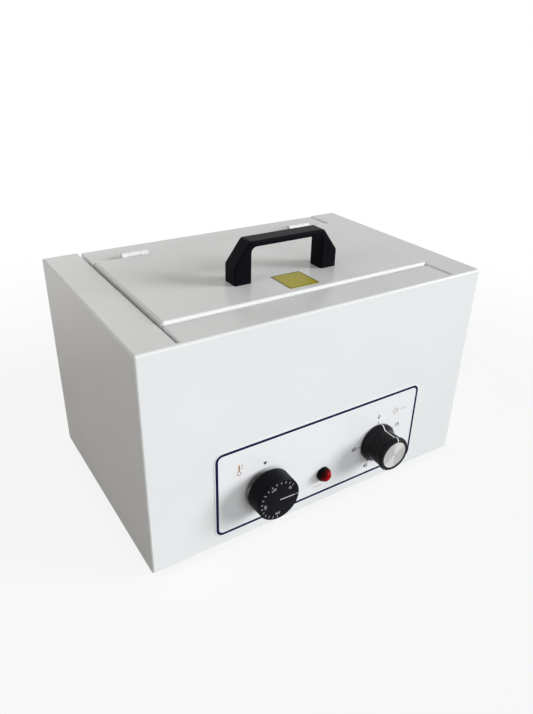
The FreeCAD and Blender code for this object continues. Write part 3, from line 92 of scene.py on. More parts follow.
class Wire:
    """A shader socket that takes part in sums, so that node maths reads as arithmetic."""

    def __init__(self, paint, socket):
        self.paint = paint
        self.socket = socket

    def sum_of(self, operation, *values):
        return self.paint.add("ShaderNodeMath", {"operation": operation}, dict(enumerate(values)))

    def __add__(self, other):
        return self.sum_of("ADD", self, other)

    def __radd__(self, other):
        return self.sum_of("ADD", other, self)

    def __sub__(self, other):
        return self.sum_of("SUBTRACT", self, other)

    def __rsub__(self, other):
        return self.sum_of("SUBTRACT", other, self)

    def __mul__(self, other):
        return self.sum_of("MULTIPLY", self, other)

    def __rmul__(self, other):
        return self.sum_of("MULTIPLY", other, self)

    def sine(self):
        return self.sum_of("SINE", self)


class Paint:
    """The node tree of a material or of the room."""

    def __init__(self, name, data=None):
        self.data = data or bpy.data.materials.new(name)
        self.data.use_nodes = True
        self.tree = self.data.node_tree
        self.tree.nodes.clear()

    def add(self, kind, options=None, sockets=None, output=0):
        """Add a node: its options first, then the values or links of its sockets."""
        node = self.tree.nodes.new(kind)
        for name, value in (options or {}).items():
            if name == "stops":
                self.set_stops(node.color_ramp, value)
            else:
                setattr(node, name, value)
        for name, value in (sockets or {}).items():
            if isinstance(value, Wire):
                self.tree.links.new(value.socket, node.inputs[name])
            else:
                node.inputs[name].default_value = value
        return Wire(self, node.outputs[output])

    def set_stops(self, ramp, stops):
        """Give a ramp its stops: (position, grey level) pairs."""
        while len(ramp.elements) < len(stops):
            ramp.elements.new(1)
        for element, (position, level) in zip(ramp.elements, stops):
            element.position = position
            element.color = (level, level, level, 1)

    def place(self):
        return self.add("ShaderNodeTexCoord", output="Object")

    def axes(self, vector):
        """The X, Y and Z of a vector as three values."""
        split = self.add("ShaderNodeSeparateXYZ", None, {"Vector": vector}).socket.node
        return [Wire(self, socket) for socket in split.outputs]

    def vector_sum(self, operation, *vectors, output=0):
        return self.add("ShaderNodeVectorMath", {"operation": operation}, dict(enumerate(vectors)), output)

    def noise(self, scale, detail, roughness=0.5, stretch=None, place=None):
        """Noise over the object's own coordinates, stretched or as they are, or over another vector."""
        place = place or self.place()
        if stretch:
            place = self.vector_sum("MULTIPLY", place, stretch)
        sockets = {"Vector": place, "Scale": scale, "Detail": detail, "Roughness": roughness}
        return self.add("ShaderNodeTexNoise", None, sockets)

    def ramp(self, value, *stops):
        return self.add("ShaderNodeValToRGB", {"stops": stops}, {"Fac": value})

    def mix(self, share, first, second):
        """A colour between two others."""
        sockets = {MIX_SHARE: share, MIX_FIRST: rgba(first), MIX_SECOND: rgba(second)}
        return self.add("ShaderNodeMix", {"data_type": "RGBA"}, sockets, MIX_RESULT)

    def bump(self, height, distance, strength=1.0):
        sockets = {"Height": height, "Distance": distance, "Strength": strength}
        return self.add("ShaderNodeBump", None, sockets)

    def either(self, share, first, second):
        """A shader between two others."""
        return self.add("ShaderNodeMixShader", None, {0: share, 1: first, 2: second})

    def seen(self):
        """One for what the camera, a mirror or glass shows, and nought for light that falls on things."""
        path = self.add("ShaderNodeLightPath").socket.node
        shown = Wire(self, path.outputs["Is Camera Ray"])
        for name in ("Is Glossy Ray", "Is Transmission Ray"):
            shown = shown.sum_of("MAXIMUM", shown, Wire(self, path.outputs[name]))
        return shown

    def surface(self, sockets):
        """End the tree in one Principled shader."""
        self.end(self.add("ShaderNodeBsdfPrincipled", None, sockets))
        return self.data

    def end(self, shader, kind="ShaderNodeOutputMaterial"):
        output = self.tree.nodes.new(kind)
        self.tree.links.new(shader.socket, output.inputs["Surface"])


def rgba(colour):
    """A colour with its fourth channel, or a link as it is."""
    if isinstance(colour, Wire):
        return colour
    return (*tuple(colour)[:3], 1)


def shaded(colour, share, haze=0.0):
    """A colour made darker or lighter by a share, with some grey added."""
    return [channel * share + haze for channel in colour]


def settings(name):
    return getattr(bpy.context.scene, "sterilizer_" + name)


def colour_of(name, description, default):
    return FloatVectorProperty(name=name, description=description, default=default,
                               size=3, min=0, max=1, subtype="COLOR")


def length_of(name, description, default):
    return FloatProperty(name=name, description=description, default=default,
                         min=0, subtype="DISTANCE", unit="LENGTH")


def angle_of(name, description, degrees):
    return FloatProperty(name=name, description=description, default=math.radians(degrees),
                         subtype="ANGLE", unit="ROTATION")


def power_of(name, description, default):
    return FloatProperty(name=name, description=description, default=default, min=0)


class CoatSettings(bpy.types.PropertyGroup):
    """White powder coat of the cabinet and the lid."""

    colour: colour_of("Coat", "Colour of the powder coat", (0.84, 0.845, 0.845))
    roughness: FloatProperty(name="Roughness", description="How far the coat blurs what it mirrors",
                             default=0.2, min=0, max=1, subtype="FACTOR")
    peel_size: length_of("Orange peel", "Width of one dimple of the coat", 1.6 * MM)
    peel_depth: length_of("Peel depth", "Depth of the coat's dimples", 0.012 * MM)


class PrintSettings(bpy.types.PropertyGroup):
    """Marks printed on the control panel, the dial and the sticker."""

    line_colour: colour_of("Outline", "Colour of the outline and the figures", (0.005, 0.006, 0.05))
    sign_colour: colour_of("Signs", "Colour of the small signs", (0.42, 0.22, 0.11))
    mark_colour: colour_of("Dial marks", "Colour of the marks on the thermostat's dial", (0.55, 0.56, 0.57))
    knob_line_colour: colour_of("Knob line", "Colour of the line on the timer knob", (0.82, 0.83, 0.84))
    border_colour: colour_of("Border", "Colour of the line round the sticker", (0.03, 0.028, 0.015))
    film_colour: colour_of("Panel film", "Colour of the control panel", (0.87, 0.87, 0.885))
    sticker_colour: colour_of("Sticker", "Colour of the lid's sticker", (0.5, 0.43, 0.03))
    outline_width: length_of("Outline width", "Width of the panel's outline", 2.5 * MM)
    outline_corner: length_of("Outline corner", "Corner radius of the outline", 7 * MM)
    ink: length_of("Ink", "Thickness of the ink film", 0.04 * MM)
    figure_height: length_of("Figures", "Height of the timer's figures", 4 * MM)


class MouldingSettings(bpy.types.PropertyGroup):
    """Black mouldings: knobs, handle, lamp bezel and inlet."""

    colour: colour_of("Black", "Colour of the black mouldings", (0.0028, 0.003, 0.0045))
    flutes: IntProperty(name="Flutes", description="Flutes round the timer knob's grip", default=24, min=6)
    flute_depth: length_of("Flute depth", "Depth of the grip's flutes", 0.5 * MM)
    line_turn: angle_of("Knob line", "Where the timer knob's line points, from the top", 7.5)


class LampSettings(bpy.types.PropertyGroup):
    """Pilot lamp."""

    colour: colour_of("Lens", "Colour of the lamp's lens", (0.36, 0.001, 0.003))
    # The lens shade is painted shade: the colour the dome darkens to at its upper left
    shade: colour_of("Lens shade", "Colour of the lens at its upper left", (0.03, 0.0005, 0.001))


class StageSettings(bpy.types.PropertyGroup):
    """Floor, light and camera."""

    floor_colour: colour_of("Floor", "Colour of the floor", (0.86, 0.86, 0.86))
    bounce_colour: colour_of("Bounce", "Colour of the floor as it lights the cabinet", (0.12, 0.117, 0.112))
    key_turn: angle_of("Key direction", "Turn of the key light from the front to the right", 58)
    key_height: angle_of("Key height", "Height of the key light over the horizon", 15)
    key_power: power_of("Key light", "Light of the key lamp on a face turned to it", 3.0)
    window_power: power_of("Window light", "Watts of the large lamp in front", 20.0)
    side_power: power_of("Side light", "Watts of the lamp over the cabinet's left side", 1.25)
    back_power: power_of("Back light", "Watts of the large lamp behind the cabinet", 24.0)
    room_power: power_of("Room light", "Light that comes from all sides", 0.2)
    camera_place: FloatVectorProperty(name="Camera", description="Where the camera stands", unit="LENGTH",
                                      default=(-0.2934, -0.4445, 0.4008), subtype="TRANSLATION")
    camera_turn: angle_of("Camera turn", "Turn of the camera to the right", 33.418)
    camera_dip: angle_of("Camera dip", "How far the camera looks down", 28.296)
    camera_roll: angle_of("Camera roll", "Roll of the camera", 1.505)
    lens: FloatProperty(name="Lens", description="Focal length in millimetres on a 36 mm sensor",
                        default=31.12, min=1)


GROUPS = {
    "coat": CoatSettings,
    "print": PrintSettings,
    "moulding": MouldingSettings,
    "lamp": LampSettings,
    "stage": StageSettings,
}


def powder_coat():
    """Semi-gloss white with a faint orange peel and hardly visible clouds."""
    coat = settings("coat")
    paint = Paint("powder_coat")
    clouds = paint.noise(9, 3)
    fine = paint.noise(140, 2)
    peel = paint.noise(1 / coat.peel_size, 1.5)
    cloudy = paint.ramp(clouds, (0.35, 0), (0.65, 1))
    return paint.surface({
        "Base Color": paint.mix(cloudy, coat.colour, shaded(coat.colour, 0.975)),
        "Roughness": coat.roughness + fine * 0.05,
        "Normal": paint.bump(peel, coat.peel_depth),
        "Specular IOR Level": 0.2,
    })


def panel_film():
    """Smooth satin film of the control panel, a little warmer than the coat."""
    paint = Paint("panel_film")
    grain = paint.noise(900, 2)
    clouds = paint.noise(14, 2)
    colour = settings("print").film_colour
    return paint.surface({
        "Base Color": paint.mix(clouds * 0.5, colour, shaded(colour, 0.98)),
        "Roughness": 0.26 + grain * 0.06,
        "Normal": paint.bump(grain, 0.004 * MM),
    })


def ink(name, colour):
    """Screen-printed ink: a colour whose cover varies a little."""
    paint = Paint(name)
    cover = paint.noise(1500, 3)
    worn = paint.ramp(cover, (0.4, 0), (0.75, 1))
    return paint.surface({
        "Base Color": paint.mix(worn, colour, shaded(colour, 0.9, haze=0.003)),
        "Roughness": 0.35 + cover * 0.1,
        "Normal": paint.bump(cover, 0.005 * MM),
        "Specular IOR Level": 0.1,
    })


def moulding(name, colour, roughness, grain_size, grain_depth, gloss=0.12, coat=0.0):
    """Moulded plastic with a fine grain and faint flow marks."""
    paint = Paint(name)
    grain = paint.noise(1 / grain_size, 3)
    flow = paint.noise(60, 3, stretch=(1, 1, 0.35))
    return paint.surface({
        "Base Color": paint.mix(flow, colour, shaded(colour, 1.6)),
        "Roughness": roughness + grain * 0.12,
        "Normal": paint.bump(grain, grain_depth),
        "Specular IOR Level": gloss,
        "Coat Weight": coat,
        "Coat Roughness": 0.08,
    })


def brushed(name, colour, roughness, along):
    """Brushed sheet: fine scratches along one axis, with faint stains."""
    paint = Paint(name)
    lengthwise, crosswise = 30.0, 1800.0
    scales = [lengthwise if axis == along else crosswise for axis in "xyz"]
    lines = paint.noise(1, 2, stretch=scales)
    stains = paint.noise(22, 4)
    return paint.surface({
        "Base Color": paint.mix(stains, colour, shaded(colour, 0.88)),
        "Metallic": 1.0,
        "Roughness": roughness + lines * 0.14 + stains * 0.06,
        "Normal": paint.bump(lines, 0.01 * MM),
    })


def galvanised():
    """Zinc spangle: flat crystals of slightly different grey."""
    paint = Paint("galvanised")
    crystals = paint.add("ShaderNodeTexVoronoi", None, {"Vector": paint.place(), "Scale": 110}, "Color")
    tone = paint.axes(crystals)[0]
    return paint.surface({
        "Base Color": paint.mix(tone, (0.5, 0.52, 0.54), (0.66, 0.67, 0.68)),
        "Metallic": 1.0,
        "Roughness": 0.34 + tone * 0.16,
        "Normal": paint.bump(tone, 0.02 * MM, 0.4),
    })


def plated(name, colour, roughness):
    """Plated steel or brass: bright, with soft clouds and fine pits."""
    paint = Paint(name)
    clouds = paint.noise(260, 3)
    pits = paint.noise(3500, 2)
    return paint.surface({
        "Base Color": paint.mix(clouds, colour, shaded(colour, 0.82)),
        "Metallic": 1.0,
        "Roughness": roughness + clouds * 0.14,
        "Normal": paint.bump(pits, 0.01 * MM),
    })


def spun(name, colour, centre):
    """Aluminium turned on a lathe: fine rings round an axis along Y, and a painted highlight of one bright
    sector each way.
    """
    ring_pitch, ring_tilt, glint_turn = 0.22 * MM, 0.22, math.radians(28)
    paint = Paint(name)
    from_centre = paint.vector_sum("SUBTRACT", paint.place(), centre)
    from_axis = paint.vector_sum("MULTIPLY", from_centre, (1, 0, 1))
    radius = paint.vector_sum("LENGTH", from_axis, output="Value")
    outward = paint.vector_sum("NORMALIZE", from_axis)
    turned = paint.add("ShaderNodeVectorTransform",
                       {"vector_type": "VECTOR", "convert_from": "OBJECT", "convert_to": "WORLD"},
                       {"Vector": outward})
    along_radius = paint.add("ShaderNodeCombineXYZ", None, {"X": radius})
    uneven = paint.noise(1 / ring_pitch, 2, place=along_radius)
    tilt = (radius * (math.tau / ring_pitch)).sine() * ring_tilt * (uneven + 0.5)
    facing = paint.add("ShaderNodeNewGeometry", output="Normal")
    leaning = paint.add("ShaderNodeVectorMath", {"operation": "SCALE"}, {0: turned, "Scale": tilt})
    towards = (math.sin(glint_turn), 0, math.cos(glint_turn))
    along = paint.vector_sum("DOT_PRODUCT", outward, towards, output="Value")
    # Painted highlight: the colour is brightest in two opposite sectors and darker elsewhere
    painted_glint_mask = paint.ramp(along * along, (0.55, 0), (1.0, 1))
    dull = shaded(colour, 0.78)
    return paint.surface({
        "Base Color": paint.mix(painted_glint_mask, paint.mix(uneven, dull, shaded(dull, 0.9)), colour),
        "Metallic": 1.0,
        "Roughness": 0.22 + uneven * 0.1,
        "Normal": paint.vector_sum("NORMALIZE", paint.vector_sum("ADD", facing, leaning)),
    })


def rubber(name, colour, roughness=0.7):
    """Rubber with a fine skin and a dusty bloom."""
    paint = Paint(name)
    skin = paint.noise(1600, 3)
    bloom = paint.noise(120, 3)
    return paint.surface({
        "Base Color": paint.mix(bloom, colour, shaded(colour, 1.25, haze=0.012)),
        "Roughness": roughness + skin * 0.12,
        "Normal": paint.bump(skin, 0.02 * MM),
        "Specular IOR Level": 0.35,
    })


def wool():
    """Mineral wool: matted fibres in layers."""
    paint = Paint("mineral_wool")
    fibres = paint.noise(380, 6, 0.7, stretch=(1, 1, 4))
    tufts = paint.noise(70, 4)
    return paint.surface({
        "Base Color": paint.mix(fibres, (0.5, 0.43, 0.25), (0.82, 0.77, 0.6)),
        "Roughness": 0.9 + tufts * 0.1,
        "Normal": paint.bump(fibres + tufts, 0.6 * MM),
    })


def heater_sheath():
    """Steel sheath with straw and blue heat tints along its length."""
    paint = Paint("heater_sheath")
    tint = paint.noise(1, 3, stretch=(18, 60, 60))
    warm = paint.mix(paint.ramp(tint, (0.35, 0), (0.6, 1)), (0.3, 0.27, 0.25), (0.42, 0.3, 0.2))
    return paint.surface({
        "Base Color": paint.mix(paint.ramp(tint, (0.6, 0), (0.8, 1)), warm, (0.2, 0.22, 0.32)),
        "Metallic": 1.0,
        "Roughness": 0.36 + tint * 0.2,
        "Normal": paint.bump(paint.noise(1200, 2), 0.01 * MM),
    })


def phenolic():
    """Brown phenolic moulding with darker flecks."""
    paint = Paint("phenolic")
    flecks = paint.noise(420, 5, 0.7)
    dark = paint.ramp(flecks, (0.45, 0), (0.6, 1))
    return paint.surface({
        "Base Color": paint.mix(dark, (0.16, 0.06, 0.025), (0.05, 0.02, 0.01)),
        "Roughness": 0.3 + flecks * 0.2,
        "Normal": paint.bump(flecks, 0.02 * MM),
    })


def yellow_film():
    """Yellow sticker film with a faint weave of its backing."""
    paint = Paint("yellow_film")
    grain = paint.noise(1100, 3)
    fade = paint.noise(45, 2)
    colour = settings("print").sticker_colour
    return paint.surface({
        "Base Color": paint.mix(fade, colour, shaded(colour, 0.88)),
        "Roughness": 0.32 + grain * 0.1,
        "Normal": paint.bump(grain, 0.006 * MM),
        "Specular IOR Level": 0.15,
    })


def lens_red():
    """Red moulding of the lamp's dome, with painted shade that darkens it towards its upper left."""
    paint = Paint("lens_red")
    ripple = paint.noise(420, 2)
    x, _, z = paint.axes(paint.place())
    fade = 0.35 / lens_radius
    away = (z - lamp_centre.z) * fade - (x - lamp_centre.x) * fade + ripple * 0.08
    # Painted shade: the dome's red fades to the dark shade colour towards its upper left
    painted_shade_mask = paint.ramp(away + 0.5, (0.56, 0), (0.92, 1))
    lamp = settings("lamp")
    return paint.surface({
        "Base Color": paint.mix(painted_shade_mask, lamp.colour, lamp.shade),
        "Roughness": 0.05 + ripple * 0.05,
        "Normal": paint.bump(ripple, 0.004 * MM),
        "Specular IOR Level": 0.05,
    })


def finish_cad(finishes):
    """Put finishes on CAD nodes that keep their own shape."""
    for node, material in finishes.items():
        mesh = frame["nodes"][node].data
        mesh.materials.clear()
        mesh.materials.append(material)


def finish_slot(slot, material):
    """Put a finish on every CAD node of a material slot."""
    parts = frame["record"]["subparts"]
    finish_cad({part["node"]: material for part in parts if part["material_slot"] == slot})


def show(name, data):
    """An object of some data, shown in the scene."""
    item = bpy.data.objects.new(name, data)
    bpy.context.scene.collection.objects.link(item)
    return item


def mesh_of(name, bm):
    """The mesh of a bmesh, which is used up."""
    mesh = bpy.data.meshes.new(name)
    bm.to_mesh(mesh)
    bm.free()
    return mesh


def as_built(item):
    """The mesh that an object's curve or modifiers give."""
    bpy.context.view_layer.update()
    return bpy.data.meshes.new_from_object(item.evaluated_get(bpy.context.evaluated_depsgraph_get()))


def add_piece(name, bm, body, material, place=Matrix()):
    """Make a piece of a bmesh. It rides on a body and takes the finish it is given."""
    sharp_from = math.radians(32)
    bm.transform(place)
    bmesh.ops.recalc_face_normals(bm, faces=bm.faces)
    mesh = mesh_of(name, bm)
    mesh.shade_smooth()
    mesh.set_sharp_from_angle(angle=sharp_from)
    mesh.materials.append(material)
    piece = show(name, mesh)
    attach(piece, body)
    return piece


def at(face, place):
    """The frame of a face, moved to a place on it."""
    return Matrix.Translation(place) @ face


def on_panel(centre, right=0.0, up=0.0):
    """The frame of the panel's face, moved to a place beside and above a control."""
    return at(FRONT_FACE, (centre.x + right, panel_face, centre.z + up))


def lathe(profile, steps, swell=None):
    """Turn (radius, height) points round the local Z axis. swell(turn, height) changes the radius."""
    bm = bmesh.new()
    rings = []
    for radius, height in profile:
        if radius == 0:
            rings.append([bm.verts.new((0, 0, height))])
            continue
        ring = []
        for step in range(steps):
            turn = math.tau * step / steps
            reach = radius + (swell(turn, height) if swell else 0)
            ring.append(bm.verts.new((reach * math.cos(turn), reach * math.sin(turn), height)))
        rings.append(ring)
    for low, high in zip(rings, rings[1:]):
        for step in range(steps):
            follow = step + 1
            corners = [low[step % len(low)], low[follow % len(low)],
                       high[follow % len(high)], high[step % len(high)]]
            bm.faces.new(list(dict.fromkeys(corners)))
    return bm


def arc(x, y, radius, start, end, steps):
    """Points of an arc, from one turn to another in degrees."""
    turns = [math.radians(start + (end - start) * step / steps) for step in range(steps + 1)]
    return [(x + radius * math.cos(turn), y + radius * math.sin(turn)) for turn in turns]


def bar(start, end, width):
    """Outline of a straight stroke."""
    along = (Vector(end) - Vector(start)).normalized()
    side = Vector((-along.y, along.x)) * width / 2
    return [tuple(Vector(start) + side), tuple(Vector(start) - side),
            tuple(Vector(end) - side), tuple(Vector(end) + side)]


def spoke(turn, inner, outer, width):
    """Outline of a stroke that points away from the centre, at a turn from the top."""
    way = clock(turn, 1)
    return bar(Vector(way) * inner, Vector(way) * outer, width)


def clock(turn, radius):
    """The point at a clockwise turn from the top, in degrees."""
    return (radius * math.sin(math.radians(turn)), radius * math.cos(math.radians(turn)))


def rounded(left, low, right, high, radius, steps=10):
    """Outline of a rectangle with round corners."""
    return (arc(right - radius, high - radius, radius, 0, 90, steps)
            + arc(left + radius, high - radius, radius, 90, 180, steps)
            + arc(left + radius, low + radius, radius, 180, 270, steps)
            + arc(right - radius, low + radius, radius, 270, 360, steps))


def ring(x, y, radius, width):
    """A round line as its outer and its inner outline."""
    return [arc(x, y, radius + width / 2, 0, 345, 23), arc(x, y, radius - width / 2, 0, 345, 23)]


def outlines(loops):
    """A filled flat curve. A loop inside another one is a hole."""
    curve = bpy.data.curves.new("outlines", "CURVE")
    curve.dimensions = "2D"
    curve.fill_mode = "BOTH"
    for loop in loops:
        spline = curve.splines.new("POLY")
        spline.points.add(len(loop) - 1)
        for point, (x, y) in zip(spline.points, loop):
            point.co = (x, y, 0, 1)
        spline.use_cyclic_u = True
    return curve


def figures(words, height, weight=0.0):
    """Plain figures, centred on the origin. The weight fattens their strokes."""
    capital_share = 0.69
    curve = bpy.data.curves.new("figures", "FONT")
    curve.body = words
    curve.size = height / capital_share
    curve.offset = weight
    curve.align_x = curve.align_y = "CENTER"
    curve.resolution_u = 4
    return curve


def print_on(bm, curve, place, thickness):
    """Add a flat curve to a bmesh as a closed film, half over a surface and half in it."""
    weld = 0.002 * MM
    curve.extrude = thickness
    carrier = show("carrier", curve)
    mesh = as_built(carrier)
    mesh.transform(place)
    bm.from_mesh(mesh)
    bmesh.ops.remove_doubles(bm, verts=bm.verts, dist=weld)
    bmesh.ops.recalc_face_normals(bm, faces=bm.faces)
    bpy.data.objects.remove(carrier)
    bpy.data.meshes.remove(mesh)
    bpy.data.curves.remove(curve)


def shift(x, y, turn=0.0):
    """A move within a face's drawing, with a clockwise turn in degrees."""
    return Matrix.Translation((x, y, 0)) @ Matrix.Rotation(-math.radians(turn), 4, "Z")


class STERILIZER_OT_sheet_metal(bpy.types.Operator):
    """Coat the cabinet, the lid and the hinges, and finish the bare sheet metal"""

    bl_idname = "sterilizer.sheet_metal"
    bl_label = "Sheet metal"

    def execute(self, context):
        finish_slot("powder_coat", powder_coat())
        finish_slot("galvanised", galvanised())
        finish_slot("stainless", brushed("brushed_stainless", (0.6, 0.6, 0.59), 0.2, "x"))
        return {"FINISHED"}


class STERILIZER_OT_fittings(bpy.types.Operator):
    """Finish the metal fittings, the seals, the wool and the parts behind the panel"""

    bl_idname = "sterilizer.fittings"
    bl_label = "Fittings"

    def execute(self, context):
        finishes = {
            "zinc_screw": plated("zinc_plate", (0.56, 0.57, 0.58), 0.24),
            "nickel": plated("nickel_plate", (0.63, 0.6, 0.53), 0.16),
            "copper": plated("copper_tube", (0.72, 0.36, 0.21), 0.26),
            "plate_aluminium": brushed("rolled_aluminium", (0.7, 0.7, 0.71), 0.28, "y"),
            "heater_sheath": heater_sheath(),
            "phenolic": phenolic(),
            "wool": wool(),
            "silicone": rubber("silicone", (0.62, 0.6, 0.56), 0.45),
            "rubber_foot": rubber("foot_rubber", (0.014, 0.014, 0.015)),
        }
        for slot, material in finishes.items():
            finish_slot(slot, material)
        return {"FINISHED"}


class STERILIZER_OT_mouldings(bpy.types.Operator):
    """Finish the black handle, lamp body and inlet, which keep their shape"""

    bl_idname = "sterilizer.mouldings"
    bl_label = "Black mouldings"

    def execute(self, context):
        black = settings("moulding").colour
        finish_cad({
            "lid_handle": moulding("satin_black", black, 0.3, 0.5 * MM, 0.012 * MM, gloss=0.03),
            "lamp_body": moulding("bezel_black", black, 0.25, 0.6 * MM, 0.006 * MM, gloss=0.05),
            "mains_inlet": moulding("inlet_black", black, 0.4, 0.4 * MM, 0.012 * MM),
        })
        return {"FINISHED"}


class STERILIZER_OT_panel_print(bpy.types.Operator):
    """Print the control panel: outline, timer figures, pointer and small signs"""

    bl_idname = "sterilizer.panel_print"
    bl_label = "Panel print"

    def execute(self, context):
        marks = settings("print")
        finish_cad({"panel_overlay": panel_film()})
        navy = bmesh.new()
        print_on(navy, outlines(self.outline(marks)), on_panel(Vector()), marks.ink)
        self.pointer(navy, marks)
        self.timer_scale(navy, marks)
        add_piece("panel_outline_and_figures", navy, "cabinet",
                  ink("navy_ink", marks.line_colour))
        signs = bmesh.new()
        self.thermometer(signs, marks)
        self.clock_sign(signs, marks)
        self.lamp_line(signs, marks)
        add_piece("panel_signs", signs, "cabinet", ink("orange_ink", marks.sign_colour))
        return {"FINISHED"}

    def outline(self, marks):
        """The round-cornered line near the film's edge, as its outer and its inner outline."""
        margin = 1 * MM
        left, low = panel_low.x + margin, panel_low.z + margin
        right, high = panel_high.x - margin, panel_high.z - margin
        line, corner = marks.outline_width, marks.outline_corner
        return [rounded(left, low, right, high, corner),
                rounded(left + line, low + line, right - line, high - line, corner - line)]

    def pointer(self, bm, marks):
        """A small arrow that points down at the thermostat's dial."""
        width, height = 4.0 * MM, 3.2 * MM
        arrow = [(0, 0), (width / 2, height), (-width / 2, height)]
        print_on(bm, outlines([arrow]), on_panel(thermostat_centre, -1 * MM, 22.8 * MM), marks.ink)

    def timer_scale(self, bm, marks):
        """A tick and a figure for each quarter of an hour."""
        place = on_panel(timer_centre)
        step, figure_radius, weight = 67.5, 27.4 * MM, 0.1 * MM
        tick_start, tick_end, tick_width = 19.8 * MM, 22.6 * MM, 0.75 * MM
        for count, figure in enumerate(("0", "15", "30", "45", "60")):
            turn = step * count
            print_on(bm, outlines([spoke(turn, tick_start, tick_end, tick_width)]), place, marks.ink)
            where = shift(*clock(turn, figure_radius))
            print_on(bm, figures(figure, marks.figure_height, weight), place @ where, marks.ink)

    def thermometer(self, bm, marks):
        """A filled stem, an open bulb under it and three ticks beside it."""
        place = on_panel(thermostat_centre, -26.5 * MM, 27 * MM)
        half, bottom, top, corner = 0.75 * MM, -1.2 * MM, 5.6 * MM, 0.7 * MM
        tick_start, tick_end, tick_width = 2 * MM, 3.6 * MM, 0.45 * MM
        bulb_height, bulb_radius, bulb_line = -3 * MM, 1.7 * MM, 0.6 * MM
        stem = rounded(-half, bottom, half, top, corner, 4)
        ticks = [bar((tick_start, y), (tick_end, y), tick_width) for y in (1.2 * MM, 2.9 * MM, 4.6 * MM)]
        print_on(bm, outlines([stem, *ticks]), place, marks.ink)
        print_on(bm, outlines(ring(0, bulb_height, bulb_radius, bulb_line)), place, marks.ink)

    def clock_sign(self, bm, marks):
        """A round face with two hands and a line beside it."""
        place = on_panel(timer_centre, 21.2 * MM, 27.7 * MM)
        radius, rim, hand = 2.9 * MM, 0.5 * MM, 0.45 * MM
        print_on(bm, outlines(ring(0, 0, radius, rim)), place, marks.ink)
        hands = [spoke(0, -0.2 * MM, 2.1 * MM, hand), bar((0.23 * MM, 0), (1.7 * MM, 0), hand)]
        line = bar((radius + 3 * MM, 0), (radius + 11 * MM, 0), 0.4 * MM)
        print_on(bm, outlines([*hands, line]), place, marks.ink)

    def lamp_line(self, bm, marks):
        """A plain line under the pilot lamp."""
        half_length, width = 5.5 * MM, 0.45 * MM
        line = bar((-half_length, 0), (half_length, 0), width)
        print_on(bm, outlines([line]), on_panel(lamp_centre, -4.5 * MM, -13 * MM), marks.ink)


class STERILIZER_OT_thermostat_dial(bpy.types.Operator):
    """Build the thermostat's plain dial and print its ticks, figures and pointer line"""

    bl_idname = "sterilizer.thermostat_dial"
    bl_label = "Thermostat dial"

    def execute(self, context):
        marks = settings("print")
        black = moulding("matt_black", settings("moulding").colour, 0.42, 0.3 * MM, 0.01 * MM, gloss=0.07)
        gap, face = 5.9 * MM, 21.9 * MM
        place = at(FRONT_FACE, (thermostat_centre.x, panel_high.y, thermostat_centre.z))
        knob = add_piece("thermostat_dial_turned", lathe(self.profile(gap, face), 96), "thermostat_dial",
                         black, place)
        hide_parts("thermostat_knob")
        bm = bmesh.new()
        self.scale(bm, place @ Matrix.Translation((0, 0, face)), marks.ink)
        add_piece("thermostat_dial_marks", bm, "thermostat_dial",
                  ink("white_ink", marks.mark_colour))
        return {"FINISHED"}

    def profile(self, gap, face):
        """A plain dial with a rounded edge, hollow behind round its hub."""
        low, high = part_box("thermostat_knob")
        radius = (high.x - low.x) / 2
        draft, edge, wall, web, hub = 0.5 * MM, 1.3 * MM, 2.2 * MM, 2.8 * MM, 5.6 * MM
        front_radius, hub_rear = radius - draft, gap + 3 * MM
        behind = [(0, hub_rear), (hub, hub_rear), (hub, face - web),
                  (front_radius - wall, face - web), (radius - wall, gap)]
        outside = [(radius - 0.2 * MM, gap), (radius, gap + 0.2 * MM)]
        corner = arc(front_radius - edge, face - edge, edge, 0, 90, 6)
        return behind + outside + corner + [(0, face)]

    def scale(self, bm, place, thickness):
        """Figures that face outwards with ticks between them, and a pointer line to the nought."""
        step, minor_steps, first_turn, rest_turn = 75.0, 5, 50.0, 92.0
        tick_start, tick_end, tick_width = 16.3 * MM, 18.4 * MM, 0.5 * MM
        line_start, line_end, line_width = 0.8 * MM, 16 * MM, 0.95 * MM
        figure_radius, figure_height, nought_radius, nought_height = 13.7 * MM, 2.3 * MM, 18.2 * MM, 2 * MM
        figures_read = ("50", "100", "150", "200")
        strokes = [spoke(first_turn - step * count / minor_steps, tick_start, tick_end, tick_width)
                   for count in range(minor_steps * (len(figures_read) - 1) + 1)]
        strokes.append(spoke(rest_turn, line_start, line_end, line_width))
        print_on(bm, outlines(strokes), place, thickness)
        for count, figure in enumerate(figures_read):
            turn = first_turn - step * count
            where = shift(*clock(turn, figure_radius), turn)
            print_on(bm, figures(figure, figure_height), place @ where, thickness)
        rest = shift(*clock(rest_turn, nought_radius), rest_turn)
        print_on(bm, figures("0", nought_height), place @ rest, thickness)


